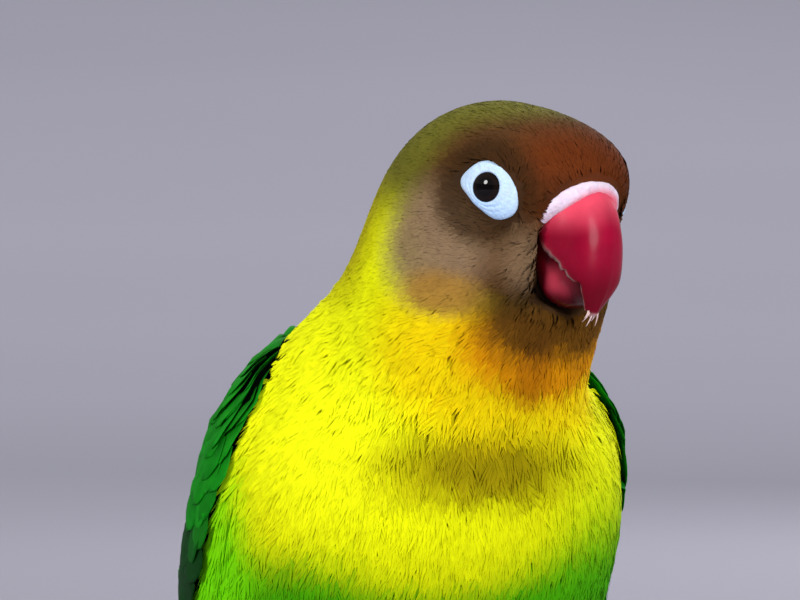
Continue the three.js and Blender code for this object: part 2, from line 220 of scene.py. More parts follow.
MARKS = (
    ("belly", "body", (0, 0, -351), (900, 900, 400), 0.011, 1.0),
    ("yellow", "world", (-4, -30, 50.5), (12, 14, 6), 0.5, 0.9),
    ("lime", "body", (28, -10, 49), (10, 11, 14), 0.4, 0.9),
    ("belly", "body", (0, 10, 20), (40, 34, 20), 0.2, 1.0),
    # Painted shade: the flank turned away from the key lamp painted darker green
    ("belly", "world", (20, -18, 47), (11, 18, 12), 0.5, 0.9),
    ("mantle", "body", (0, 26, 56), (44, 34, 26), 0.12, 1.0),
    ("rump", "body", (0, 26, 30), (10, 16, 11), 0.3, 0.9),
    # Painted light: brighter yellow high on the breast by the shoulders, where the light falls
    ("bright", "body", (17, -22, 68), (11, 16, 14), 0.6, 0.8),
    # Painted shadow: the breast below the chin painted olive, as the chin's shadow
    ("chin_shadow", "world", (1.5, -34, 60), (12.5, 12, 4.6), 0.7, 0.95),
    ("gold", "head", (5, 5, -16.5), (15, 12, 10), 0.35, 0.9),
    ("nape", "head", (0, -14, -4), (16, 9, 14), 0.3, 0.9),
    ("orange", "head", (0, 9.5, -14.5), (13, 9, 7), 0.3, 0.9),
    ("amber", "world", (5.4, -38.5, 71.5), (2.6, 6, 5), 0.5, 0.6),
    ("olive", "head", (0, -4, 7), (18, 13, 12), 0.25, 1.0),
    ("mask", "head", (0, 5.5, 0.5), (17, 12.5, 13.8), 0.14, 1.0),
    ("olive", "head", (0, -5, 15.5), (12, 12, 6.5), 0.35, 0.9),
    ("rufous", "head", (2, 13, 6), (9, 8, 6.5), 0.45, 0.8),
    ("cheek", "head", (13, 1.5, -3.5), (6.5, 7, 7), 0.45, 0.95),
    ("ginger", "head", (13.5, 4, -9.3), (5.5, 5, 2.6), 0.5, 0.9),
    ("dark", "head", (10.8, 6.5, 3.6), (6.5, 6.8, 6.4), 0.22, 0.85),
    ("dark", "head", (4, 11.5, -11), (8, 7, 5.5), 0.4, 0.85),
    ("dark", "head", (5, 13.5, 3.5), (4, 4, 3), 0.6, 0.4),
    ("cheek", "head", (8, 13, -4), (3.5, 4, 4), 0.5, 0.6),
)


def washed(colours, name, share):
    """Colours mixed with one of the palette, by a share for each"""
    return mix(colours, palette(name), share[:, None])


def marking(points):
    """The plumage colour at places given in millimetres"""
    head = to_head(points)
    folded = np.array((-1.0, 1.0, 1.0))
    places = {
        "head": np.where(head[:, :1] < 0, head * folded, head),
        "body": np.where(points[:, :1] < 0, points * folded, points),
        "world": points,
    }
    painted = palette("yellow")
    for name, where, centre, half, softness, strength in MARKS:
        near = nearness(places[where], centre, half)
        painted = washed(painted, name, strength * (1 - smooth(1 - softness, 1 + softness, near)))
    return painted


# Working with objects as by hand


def deselect():
    if bpy.context.object and bpy.context.object.mode != "OBJECT":
        bpy.ops.object.mode_set(mode="OBJECT")
    bpy.ops.object.select_all(action="DESELECT")


def pick(piece):
    deselect()
    piece.select_set(True)
    bpy.context.view_layer.objects.active = piece


def edit_all(piece, operator, **settings):
    """Runs one edit mode operator on all of a piece"""
    pick(piece)
    bpy.ops.object.mode_set(mode="EDIT")
    bpy.ops.mesh.select_all(action="SELECT")
    operator(**settings)
    bpy.ops.object.mode_set(mode="OBJECT")


def add_object(name, data):
    piece = bpy.data.objects.new(name, data)
    bpy.context.scene.collection.objects.link(piece)
    return piece


def apply_modifier(piece, kind, **settings):
    pick(piece)
    modifier = piece.modifiers.new(kind.title(), kind)
    for key, value in settings.items():
        setattr(modifier, key, value)
    bpy.ops.object.modifier_apply(modifier=modifier.name)


def copied(nodes, name):
    """One object joined from merged copies of CAD nodes"""
    copies = [add_object(name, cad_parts[source].data.copy()) for source in nodes]
    piece = copies[0]
    pick(piece)
    for copy in copies[1:]:
        copy.select_set(True)
    if len(copies) > 1:
        bpy.ops.object.join()
    piece.name = name
    piece.data.name = name
    piece.data.materials.clear()
    edit_all(piece, bpy.ops.mesh.remove_doubles, threshold=2e-6)
    return piece


def grown_together(nodes, name, voxel, join, rounds):
    """Copies of CAD nodes made one smooth closed surface at their own size"""
    piece = copied(nodes, name)
    if join:
        apply_modifier(piece, "DISPLACE", strength=join, mid_level=0.0)
    apply_modifier(piece, "REMESH", mode="VOXEL", voxel_size=voxel, use_smooth_shade=True)
    apply_modifier(piece, "SMOOTH", factor=0.5, iterations=rounds)
    if join:
        move_points(piece, points_of(piece) - normals_of(piece) * (join / MM))
    return piece


def read(items, key, size, kind=np.float32):
    """One property of all the items of a mesh, with size numbers for each item"""
    values = np.empty(len(items) * size, kind)
    items.foreach_get(key, values)
    return values.reshape(-1, size)


def points_of(piece):
    """The places of a piece's points, in millimetres"""
    return read(piece.data.vertices, "co", 3).astype(float) / MM


def normals_of(piece):
    return read(piece.data.vertex_normals, "vector", 3).astype(float)


def corners_of(piece):
    """The number of the point at each corner of a piece's faces"""
    return read(piece.data.loops, "vertex_index", 1, np.int32)[:, 0]


def move_points(piece, places):
    piece.data.vertices.foreach_set("co", (places * MM).astype(np.float32).ravel())
    piece.data.update()


def paint(piece, colours):
    """Keeps one colour for each point, or one for all, which the materials read"""
    layer = piece.data.color_attributes.new("plumage", "FLOAT_COLOR", "POINT")
    colours = np.broadcast_to(colours, (len(piece.data.vertices), 3))
    shown = np.column_stack((np.clip(colours, 0, 1), np.ones(len(colours))))
    layer.data.foreach_set("color", shown.astype(np.float32).ravel())


def mesh_piece(name, places, faces):
    """An object from places in millimetres and rows of corners, where a corner of -1 is left out"""
    mesh = bpy.data.meshes.new(name)
    mesh.vertices.add(len(places))
    mesh.vertices.foreach_set("co", (places * MM).astype(np.float32).ravel())
    used = faces >= 0
    corners = faces[used]
    counts = used.sum(1)
    starts = np.concatenate(([0], np.cumsum(counts)[:-1]))
    mesh.loops.add(len(corners))
    mesh.loops.foreach_set("vertex_index", corners.astype(np.int32))
    mesh.polygons.add(len(faces))
    mesh.polygons.foreach_set("loop_start", starts.astype(np.int32))
    mesh.update(calc_edges=True)
    mesh.polygons.foreach_set("use_smooth", np.ones(len(faces), bool))
    return add_object(name, mesh)


def add_map(piece, name, spots):
    """A UV map from one spot for each point"""
    layer = piece.data.uv_layers.new(name=name)
    layer.data.foreach_set("uv", spots[corners_of(piece)].astype(np.float32).ravel())


def finish_piece(piece, material, slot, *nodes):
    piece.data.materials.clear()
    piece.data.materials.append(material)
    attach(piece, "root")
    if nodes:
        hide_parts(*nodes)


def tree_of(*pieces):
    """A tree for rays and nearest places over several objects' faces, in millimetres"""
    places = []
    faces = []
    for piece in pieces:
        offset = len(places)
        places.extend(points_of(piece).tolist())
        faces.extend([corner + offset for corner in face.vertices] for face in piece.data.polygons)
    return BVHTree.FromPolygons(places, faces)


# Materials


def node(tree, kind, links=None, **settings):
    """A shader node with its settings, and its inputs linked or set by name or number"""
    made = tree.nodes.new(kind)
    for key, value in settings.items():
        setattr(made, key, value)
    for key, value in (links or {}).items():
        if isinstance(value, bpy.types.NodeSocket):
            tree.links.new(value, made.inputs[key])
        else:
            made.inputs[key].default_value = value
    return made


def new_material(name):
    material = bpy.data.materials.new(name)
    material.use_nodes = True
    tree = material.node_tree
    tree.nodes.clear()
    shader = tree.nodes.new("ShaderNodeBsdfPrincipled")
    output = tree.nodes.new("ShaderNodeOutputMaterial")
    tree.links.new(shader.outputs["BSDF"], output.inputs["Surface"])
    return material, tree, shader


def painted_material(name):
    """A new material with the colour that the piece was painted with"""
    material, tree, shader = new_material(name)
    painted = node(tree, "ShaderNodeVertexColor", layer_name="plumage").outputs["Color"]
    return material, tree, shader, painted


def shade(shader, **values):
    """Sets the shader's own sockets, named with _ for spaces"""
    for key, value in values.items():
        socket = shader.inputs[key.replace("_", " ")]
        if isinstance(value, bpy.types.NodeSocket):
            shader.id_data.links.new(value, socket)
        else:
            socket.default_value = value


def mottled(tree, base, scale, low, high, detail=3.0):
    """A colour made darker and lighter by noise with features of about 1 / scale metres"""
    where = node(tree, "ShaderNodeTexCoord").outputs["Object"]
    noise = node(tree, "ShaderNodeTexNoise", {"Vector": where, "Scale": scale, "Detail": detail})
    amount = node(tree, "ShaderNodeMapRange", {0: noise.outputs["Fac"], 1: 0.3, 2: 0.7, 3: low, 4: high})
    toned = node(tree, "ShaderNodeVectorMath", {0: base, "Scale": amount.outputs[0]}, operation="SCALE")
    return toned.outputs["Vector"]


def down_material(name, roughness):
    """Soft contour feathers: matt and deep in colour, as their barbs scatter the light"""
    material, tree, shader, painted = painted_material(name)
    shade(
        shader,
        Base_Color=mottled(tree, painted, 500.0, 0.93, 1.06),
        Roughness=roughness, Specular_IOR_Level=0.06,
    )
    return material


BARB_GAP = 0.25


def vane_material(name, roughness, barb_shade):
    """Firm vanes, with barbs that slope away from the shaft. Real ones are finer and wouldn't show"""
    material, tree, shader, painted = painted_material(name)
    across = node(tree, "ShaderNodeUVMap", uv_map="Vane").outputs["UV"]
    parts = node(tree, "ShaderNodeSeparateXYZ", {0: across})
    aside = node(tree, "ShaderNodeMath", {0: parts.outputs["X"]}, operation="ABSOLUTE")
    slanted = node(tree, "ShaderNodeMath", {0: parts.outputs["Y"], 1: aside.outputs[0]}, operation="SUBTRACT")
    steps = {0: slanted.outputs[0], 1: 2 * math.pi / BARB_GAP}
    turn = node(tree, "ShaderNodeMath", steps, operation="MULTIPLY")
    wave = node(tree, "ShaderNodeMath", {0: turn.outputs[0]}, operation="SINE")
    amount = node(tree, "ShaderNodeMapRange", {0: wave.outputs[0], 1: -1.0, 2: 1.0, 3: barb_shade, 4: 1.08})
    barred = node(tree, "ShaderNodeVectorMath", {0: painted, "Scale": amount.outputs[0]}, operation="SCALE")
    ridges = {"Height": wave.outputs[0], "Strength": 0.25, "Distance": 0.06 * MM}
    shade(
        shader,
        Base_Color=mottled(tree, barred.outputs["Vector"], 700.0, 0.85, 1.12),
        Roughness=roughness, Specular_IOR_Level=0.08,
        Normal=node(tree, "ShaderNodeBump", ridges).outputs["Normal"],
    )
    return material


def skin_material(name):
    """Skin seen between the strands: the same markings, a little darker as painted shade, with a soft grain
    """
    material, tree, shader, painted = painted_material(name)
    where = node(tree, "ShaderNodeTexCoord").outputs["Object"]
    pores = node(tree, "ShaderNodeTexNoise", {"Vector": where, "Scale": 1600.0, "Detail": 2.0})
    pitted = {"Height": pores.outputs["Fac"], "Strength": 0.4, "Distance": 0.2 * MM}
    shade(
        shader,
        Base_Color=mottled(tree, painted, 500.0, 0.8, 1.1),
        Roughness=0.85, Specular_IOR_Level=0.15,
        Normal=node(tree, "ShaderNodeBump", pitted).outputs["Normal"],
    )
    return material


def bare_skin_material(name, scale, depth, roughness):
    """Thin bare skin over flesh: matt, slightly see-through, with fine pits"""
    material, tree, shader, painted = painted_material(name)
    where = node(tree, "ShaderNodeTexCoord").outputs["Object"]
    cells = node(tree, "ShaderNodeTexVoronoi", {"Vector": where, "Scale": scale})
    pitted = {"Height": cells.outputs["Distance"], "Strength": 0.5, "Distance": depth * MM}
    shade(
        shader,
        Base_Color=mottled(tree, painted, scale * 0.5, 0.92, 1.04),
        Roughness=roughness, Specular_IOR_Level=0.35, Subsurface_Weight=0.15,
        Subsurface_Radius=(0.6 * MM, 0.3 * MM, 0.2 * MM), Subsurface_Scale=1.0,
        Normal=node(tree, "ShaderNodeBump", pitted).outputs["Normal"],
    )
    return material


def horn_material(name, roughness, coat):
    """Keratin, polished by use: a waxy body colour under a clear gloss, with faint growth lines"""
    material, tree, shader, painted = painted_material(name)
    where = node(tree, "ShaderNodeTexCoord").outputs["Object"]
    lines = node(tree, "ShaderNodeTexNoise", {"Vector": where, "Scale": 420.0, "Detail": 4.0})
    lined = {"Height": lines.outputs["Fac"], "Strength": 0.25, "Distance": 0.12 * MM}
    shade(
        shader,
        Base_Color=mottled(tree, painted, 260.0, 0.85, 1.1),
        Roughness=roughness, Specular_IOR_Level=0.1, Coat_Weight=coat, Coat_Roughness=0.15,
        Normal=node(tree, "ShaderNodeBump", lined).outputs["Normal"],
    )
    return material


# Skin


FLESH = ("head", "neck", "trunk", "thigh_left", "thigh_right", "tail")
SEATS = ("eye_ring_left", "eye_ring_right", "eye_left", "eye_right", "cere")
WINGS = ("wing_left", "wing_right", "primaries_left", "primaries_right")
TRUNK_COAT = 0.55
HEAD_COAT = 0.4
FACE_COAT = 0.35
TAIL_COAT = 0.25
# The change from neck to head, and the face with its half sizes, on the head's frame
NECK_TOP = (-17, -9)
FACE_CENTRE = (0, 14, -1)
FACE_HALF = (9, 6, 9)
# Skin within the crease round the bill is drawn under its surface, and in the gape it ends behind it
BILL_BASE = (0, 12.5, 1.5)
BILL_ROUND = 15
BILL_CREASE = 1.3
UNDER_BILL = 0.45
BEHIND_BILL = 10.3
GAPE_SIDE = (6.2, 5.2)
GAPE_LOW = (-9.5, -8.5)
GAPE_HIGH = (0.5, -0.5)
OFF_FLOOR = 0.15
UNWRAP_ANGLE = math.radians(66)
SKIN_SHADE = 0.95


def head_share(points):
    """1 on the head, falling to 0 down the neck"""
    return smooth(*NECK_TOP, to_head(points)[:, 2])


def coat_depth(points):
    """How far the skin lies inside the feather tips"""
    depth = mix(TRUNK_COAT, HEAD_COAT, head_share(points))
    depth = mix(FACE_COAT, depth, smooth(0.9, 1.6, nearness(to_head(points), FACE_CENTRE, FACE_HALF)))
    on_tail = smooth(8, 22, points[:, 1]) * (1 - smooth(24, 32, points[:, 2]))
    return mix(depth, TAIL_COAT, on_tail)


def body_within(nodes, name, rounds):
    """CAD nodes grown together and drawn in by the coat's depth"""
    piece = grown_together(nodes, name, sizes().voxel, sizes().join, rounds)
    places = points_of(piece)
    facing = normals_of(piece)
    places -= facing * coat_depth(places)[:, None]
    places[:, 2] = np.maximum(places[:, 2], OFF_FLOOR)
    bill = tree_of(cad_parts["bill_upper"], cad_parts["bill_lower"])
    for which in np.nonzero(length_of(to_head(places) - BILL_BASE) < BILL_ROUND)[0]:
        place, out, _, away = bill.find_nearest(places[which].tolist(), BILL_CREASE)
        if place is not None and out @ Vector(facing[which]) > 0:
            under = np.array(place - out * UNDER_BILL)
            places[which] = mix(under, places[which], smooth(0.2, 1, away / BILL_CREASE))
    side, ahead, up = to_head(places).T
    gape = smooth(*GAPE_SIDE, np.abs(side)) * smooth(*GAPE_LOW, up) * smooth(*GAPE_HIGH, up)
    ahead = np.minimum(ahead, mix(ahead, BEHIND_BILL, gape))
    move_points(piece, from_head(side, ahead, up))
    return piece


class LOVEBIRD_OT_skin(bpy.types.Operator):
    """Make one smooth skin from the head, neck, trunk, thighs and tail"""

    bl_idname = "lovebird.skin"
    bl_label = "Skin"

    def execute(self, context):
        skin = body_within(FLESH + SEATS, "skin", 16)
        apply_modifier(skin, "SMOOTH", factor=0.5, iterations=3)
        edit_all(skin, bpy.ops.mesh.normals_make_consistent, inside=False)
        edit_all(skin, bpy.ops.uv.smart_project, angle_limit=UNWRAP_ANGLE, island_margin=0.002)
        skin.data.uv_layers[0].name = "OFBake"
        paint(skin, marking(points_of(skin)) * SKIN_SHADE)
        finish_piece(skin, skin_material("Feathered skin"), "body_plumage", *FLESH)
        return {"FINISHED"}


# Places on a folded wing are named by how far they are along the line through neck, trunk and tail,
# and by the angle from the middle of the back, as seen along that line

BODY_LINE = np.array(((0.0, -23.28, 72.0), (0.0, -0.28, 38.0), (0.0, 36.72, 11.0)))
WING_START, WING_END = 0.05, 0.76
WING_LOWER = ((0, 66), (0.06, 82), (0.18, 93), (0.4, 98), (0.6, 90), (0.75, 72), (0.9, 46), (1, 28))
WING_UPPER = ((0, 44), (0.06, 30), (0.18, 18), (0.4, 10), (0.7, 8), (0.93, 12), (1, 20))
PRIMARY_START, PRIMARY_END = 0.34, 0.98
PRIMARY_LOWER = ((0, 76), (0.1, 98), (0.3, 102), (0.45, 96), (0.6, 82), (0.75, 64), (0.9, 46), (1, 26))
PRIMARY_UPPER = ((0, 55), (0.1, 40), (0.3, 20), (0.6, 9), (0.88, 9), (1, 16))
# The band outside the lower edge where the coat rises to meet the wing, in degrees
EDGE_BAND = (-11, -5)
# How many degrees in from a wing's edges the coat's roots and tips count as on it: below 0 is outside
ROOT_OVERLAP = -3.0
TIP_OVERLAP = 0.5


def at_pairs(pairs, along):
    return np.interp(along, *np.array(pairs).T)


def wing_place(points):
    """How far along the line each point is, and its angle from the middle of the back"""
    parts = np.linspace(0, 1, 81)
    lines = [bend(BODY_LINE, part) for part in parts]
    centres = np.array([place for place, _ in lines])
    aheads = np.array([ahead for _, ahead in lines])
    beyond = np.abs(points @ aheads.T - (centres * aheads).sum(1))
    away = length_of(points[:, None] - centres[None])
    nearest = (beyond + 0.05 * away).argmin(1)
    back = np.cross((1.0, 0.0, 0.0), aheads[nearest])
    angle = np.degrees(np.arctan2(np.abs(points[:, 0]), dot(points - centres[nearest], back)))
    return parts[nearest], angle


def on_wing(points, overlap):
    """Which places lie on a folded wing, more than overlap degrees in from its edges"""
    part, angle = wing_place(points)
    found = np.zeros(len(points), bool)
    for start, end, lower, upper in (
        (WING_START, WING_END, WING_LOWER, WING_UPPER),
        (PRIMARY_START, PRIMARY_END, PRIMARY_LOWER, PRIMARY_UPPER),
    ):
        along = (part - start) / (end - start)
        inside = (angle < at_pairs(lower, along) - overlap) & (angle > at_pairs(upper, along) + overlap)
        found |= inside & (along > -0.02) & (along < 1)
    return found


def wing_edge(points):
    """1 where the coat laps over a wing's lower edge, 0 elsewhere"""
    part, angle = wing_place(points)
    along = (part - WING_START) / (WING_END - WING_START)
    inward = at_pairs(WING_LOWER, along) - angle
    return smooth(*EDGE_BAND, inward) * smooth(-0.05, 0.03, along) * (1 - smooth(0.75, 0.85, along))


# The lie of the coat

BODY_FLOW = unit(np.array((0.0, 0.55, -0.84)))
# Round the eye the feathers turn aside, fully up to the first distance and not beyond the second
RING_REACH = (5.0, 7.5)
RING_TURN = 1.6


def lie_of_coat(points, facing):
    """The way the feathers lie: back from the bill over the head, then down and back along the body"""
    head = to_head(points)
    from_bill = (head - BILL_BASE) @ HEAD_AXES
    flow = mix(BODY_FLOW, unit(from_bill), smooth(-26, -10, head[:, 2])[:, None])
    flow = unit(flow - facing * dot(flow, facing)[:, None])
    for hand in HANDS:
        outward = points - EYES[hand]
        reach = length_of(outward)
        outward = unit(outward - facing * dot(outward, facing)[:, None])
        inward = np.minimum(dot(flow, outward), 0) * (1 - smooth(*RING_REACH, reach))
        flow = unit(flow - outward * inward[:, None] * RING_TURN)
    return unit(flow - facing * dot(flow, facing)[:, None])


# Strands: each is a narrow ribbon of four stations that tapers to a point

STATIONS = np.array((0.0, 0.4, 0.75, 1.0))
RIBBON = np.array((0.7, 1.0, 0.85))
RIBBON_FACES = np.array(((0, 2, 3, 1), (2, 4, 5, 3), (4, 6, 5, -1)))
# Painted shade along a strand: darkest at the root, a little lighter at the tip
SHADOW = np.array((0.92, 0.98, 1.0, 1.03))
STATION_OF_POINT = np.array((0, 0, 1, 1, 2, 2, 3))
PATCH = 0.003
# How much tufts and strands differ: lowest and highest shares, or spreads about their usual values
TUFT_LENGTHS = (0.8, 1.2)
TUFT_LIFTS = (0.96, 1.06)
STRAND_LENGTHS = (0.82, 1.08)
STRAND_RISES = (0.94, 1.0)
STRAND_HALVES = (0.4, 0.65)
STRAND_SWAY = 0.12
TUFT_TONES = 0.025
STRAND_TONES = 0.03
# On the body and on the head: how far tufts turn from the lie, and how wide they fan for their length
TURN = (0.2, 0.14)
FAN = (0.42, 0.5)
EDGE_LIFT = 0.25
ROOT_DEPTH = 0.15


class Ground:
    """A surface as arrays of triangles, with a tree for the nearest place on it"""

    def __init__(self, piece):
        self.piece = piece
        mesh = piece.data
        mesh.calc_loop_triangles()
        self.corners = read(mesh.loop_triangles, "vertices", 3, np.int32)
        self.places = points_of(piece)
        self.facing = normals_of(piece)
        self.tree = BVHTree.FromPolygons(self.places.tolist(), self.corners.tolist())

    def sample(self, per_square, dice):
        """Random places on the surface, about so many for each square millimetre"""
        first, second, third = (self.places[self.corners[:, which]] for which in range(3))
        areas = length_of(np.cross(second - first, third - first)) / 2
        total = int(areas.sum() * per_square)
        chosen = dice.choice(len(areas), total, p=areas / areas.sum())
        shares = dice.dirichlet((1.0, 1.0, 1.0), total)
        weights = shares[:, :, None]
        places = (self.places[self.corners[chosen]] * weights).sum(1)
        facing = unit((self.facing[self.corners[chosen]] * weights).sum(1))
        return places, facing

    def spots(self, points):
        """The places on the surface's own unwrap that are nearest to points"""
        mesh = self.piece.data
        corners = read(mesh.loop_triangles, "loops", 3, np.int32)
        corners = read(mesh.uv_layers["OFBake"].data, "uv", 2)[corners]
        places, _, faces = self.nearest(points)
        away = length_of(self.places[self.corners[faces]] - places[:, None])
        weights = 1 / (away + 0.01)
        weights /= weights.sum(1, keepdims=True)
        return (corners[faces] * weights[:, :, None]).sum(1)

    def nearest(self, points):
        """The nearest places on the surface, the way it faces there and the faces' numbers"""
        places = np.empty_like(points)
        faces = np.empty(len(points), int)
        for which, point in enumerate(points.tolist()):
            place, _, face, _ = self.tree.find_nearest(point)
            places[which] = place
            faces[which] = face
        return places, unit(self.facing[self.corners[faces]].mean(1)), faces


def spread_out(points, spacing):
    """The points that stay when each one clears a space round itself"""
    tree = KDTree(len(points))
    for which, point in enumerate(points.tolist()):
        tree.insert(point, which)
    tree.balance()
    free = np.ones(len(points), bool)
    kept = []
    for which, point in enumerate(points.tolist()):
        if free[which]:
            kept.append(which)
            for _, other, _ in tree.find_range(point, spacing[which]):
                free[other] = False
    return np.array(kept)


def covered(points, facing, tree, reach):
    """Which places have a solid of the tree within reach in front of them"""
    rays = zip(points.tolist(), facing.tolist())
    return np.array([tree.ray_cast(*ray, reach)[0] is not None for ray in rays])


def near_to(points, tree, reach):
    return np.array([tree.find_nearest(point, reach)[0] is not None for point in points.tolist()])


def face_nearness(points):
    """1 beside the bill, falling to 0 at the back of the head"""
    return 1 - smooth(6, 19, length_of(to_head(points) - BILL_BASE))


# Lengths of tufts at the back of the head and beside the bill, low and high on the body, on the legs
HEAD_TUFTS = (3.0, 2.2)
BODY_TUFTS = (6.8, 4.8)
LEG_TUFTS = 3.0


def tuft_length(points):
    """Contour feathers are shortest beside the bill and longest on the flanks"""
    on_head = mix(*HEAD_TUFTS, face_nearness(points))
    on_body = mix(*BODY_TUFTS, smooth(52, 74, points[:, 2]))
    on_leg = smooth(26, 18, points[:, 2]) * (points[:, 1] < 3)
    return mix(mix(on_body, LEG_TUFTS, on_leg), on_head, head_share(points))


def clear_of_wings(roots, ahead, length):
    """Lengths cut down so that no tip reaches far over a folded wing"""
    kept = length * 0.3
    for share in (0.45, 0.6, 0.8, 1.0):
        over = on_wing(roots + ahead * (length * share)[:, None], TIP_OVERLAP)
        kept = np.where(over, kept, length * share)
    return kept


def build_strands(name, ground, roots, facing, spots, dice, blades):
    """One coat piece: a fan of ribbons from every root, laid along the skin"""
    count = len(roots)
    on_head = head_share(roots)
    ahead = lie_of_coat(roots, facing)
    turn = dice.normal(0, mix(*TURN, on_head), count)[:, None]
    ahead = unit(ahead * np.cos(turn) + np.cross(facing, ahead) * np.sin(turn))
    side = np.cross(facing, ahead)
    length = clear_of_wings(roots, ahead, tuft_length(roots) * dice.uniform(*TUFT_LENGTHS, count))
    tips = roots + ahead * length[:, None]
    lands, facing_end, _ = ground.nearest(tips)
    drop = lands - tips
    lift = coat_depth(roots) * dice.uniform(*TUFT_LIFTS, count) + EDGE_LIFT * wing_edge(roots)
    fan = length * mix(*FAN, on_head)
    width = mix(sizes().strand, sizes().face_strand, on_head) / MM

    index = np.repeat(np.arange(count), blades)
    strands = len(index)
    across = np.tile(np.linspace(-1, 1, blades), count) + dice.normal(0, STRAND_SWAY, strands)
    reach = (1 - 0.28 * across ** 2) * dice.uniform(*STRAND_LENGTHS, strands)
    rise = dice.uniform(*STRAND_RISES, strands) * lift[index]
    tone = dice.normal(1.0, TUFT_TONES, count)[index] * dice.normal(1.0, STRAND_TONES, strands)
    half = width[index] * dice.uniform(*STRAND_HALVES, strands)
    roll = dice.normal(0, STRAND_SWAY, strands)

    part = STATIONS[None, :, None]
    run = (length[index] * reach)[:, None, None] * part
    spreading = (across * fan[index] * 0.5)[:, None, None] * (0.45 + 0.55 * part)
    centre = roots[index][:, None] + ahead[index][:, None] * run + side[index][:, None] * spreading
    centre += drop[index][:, None] * (part * reach[:, None, None]) ** 2
    normal = unit(mix(facing[index][:, None], facing_end[index][:, None], part))
    centre += normal * (rise[:, None, None] * (1 - (1 - part) ** 3.5) - ROOT_DEPTH * (part == 0))
    flat = side[index] * np.cos(roll)[:, None] + facing[index] * np.sin(roll)[:, None]
    edge = flat[:, None] * (half[:, None] * RIBBON)[:, :, None]

    places = np.empty((strands, 7, 3))
    places[:, 0:6:2] = centre[:, :3] - edge
    places[:, 1:6:2] = centre[:, :3] + edge
    places[:, 6] = centre[:, 3]
    faces = RIBBON_FACES[None] + (np.arange(strands) * 7)[:, None, None]
    faces[:, 2, 3] = -1
    piece = mesh_piece(name, places.reshape(-1, 3), faces.reshape(-1, 4))

    at = STATION_OF_POINT
    painted = marking(centre[:, 2])[:, None] * (SHADOW[at] * tone[:, None])[:, :, None]
    paint(piece, painted.reshape(-1, 3))
    patch = np.repeat(spots[index][:, None], 7, 1)
    patch[:, :, 0] += PATCH * 0.4 * across[:, None]
    patch[:, :, 1] += PATCH * (STATIONS[at] - 0.5)
    patch[:, 0:6:2, 0] -= PATCH * 0.08
    patch[:, 1:6:2, 0] += PATCH * 0.08
    add_map(piece, "OFBake", patch.reshape(-1, 2))
    piece.data.normals_split_custom_set_from_vertices(normal[:, at].reshape(-1, 3).tolist())
    return piece


BARE_PIECES = (
    "cere_skin", "bill_upper_horn", "bill_lower_horn", "eye_ring_skin_left", "eye_ring_skin_right",
    "eyeball_left", "eyeball_right",
)
# Roots for each square millimetre, before those too close to others are left out
ROOTS = 10.0
# How near to bare pieces no feather grows, and how far in front of its root none may be
BARE_GAP = 0.25
BARE_REACH = 2.0
# Behind and below these, vanes cover the tail in place of tufts
TAIL_FROM = 16
TAIL_UNDER = 27
# Each coat piece: its name, blades to a tuft, and slot
COAT_ZONES = (
    ("face", 8, "head_plumage"),
    ("crown", 6, "head_plumage"),
    ("collar", 7, "neck_plumage"),
    ("breast", 8, "body_plumage"),
    ("flank_left", 8, "body_plumage"),
    ("flank_right", 8, "body_plumage"),
    ("belly", 8, "body_plumage"),
    ("back", 8, "body_plumage"),
)


def coat_zone(points):
    """The name of the coat piece that each root belongs to, by the first rule that holds"""
    side, back, up = points.T
    _, head_ahead, head_up = to_head(points).T
    on_head = head_up >= -9
    rules = {
        "face": on_head & (head_ahead > 2),
        "crown": on_head,
        "collar": up > 66,
        "back": (back > -4) & (up > 24),
        "belly": up < 44,
        "flank_right": side < -12,
        "flank_left": side > 12,
    }
    return np.select(list(rules.values()), list(rules), "breast")


class LOVEBIRD_OT_coat(bpy.types.Operator):
    """Lay strands in fans over the body and the edges of its folded wings"""

    bl_idname = "lovebird.coat"
    bl_label = "Contour feathers"

    def execute(self, context):
        dice = np.random.default_rng(11)
        cover = body_within(FLESH + SEATS + WINGS, "cover", 20)
        ground = Ground(cover)
        roots, facing = ground.sample(ROOTS, dice)
        spacing = mix(sizes().body_spacing, sizes().face_spacing, head_share(roots)) / MM
        kept = spread_out(roots, spacing * (1.0))
        roots, facing = roots[kept], facing[kept]
        bare = tree_of(*(bpy.data.objects[name] for name in BARE_PIECES))
        hidden = on_wing(roots, ROOT_OVERLAP) | near_to(roots, bare, BARE_GAP)
        hidden |= covered(roots, facing, bare, BARE_REACH)
        hidden |= (roots[:, 1] > TAIL_FROM) & (roots[:, 2] < TAIL_UNDER)
        roots, facing = roots[~hidden], facing[~hidden]
        spots = Ground(bpy.data.objects["skin"]).spots(roots)
        zones = coat_zone(roots)
        down = down_material("Contour feathers", 0.8)
        for name, blades, slot in COAT_ZONES:
            here = zones == name
            fans = (roots[here], facing[here], spots[here])
            finish_piece(build_strands(f"coat_{name}", ground, *fans, dice, blades), down, slot)
        bpy.data.objects.remove(cover)
        return {"FINISHED"}


# Lofted pieces


def through(points, at):
    """Places along a smooth curve through evenly spaced points, for shares from 0 to 1"""
    points = np.asarray(points, float)
    last = len(points) - 1
    place = np.clip(np.asarray(at, float), 0, 1) * last
    start = np.minimum(place.astype(int), last - 1)
    part = (place - start)[..., None]
    rows = [points[np.clip(start + step, 0, last)] for step in (-1, 0, 1, 2)]
    before, first, second, after = rows
    return 0.5 * (
        2 * first + (second - before) * part
        + (2 * before - 5 * first + 4 * second - after) * part ** 2
        + (3 * first - before - 3 * second + after) * part ** 3
    )


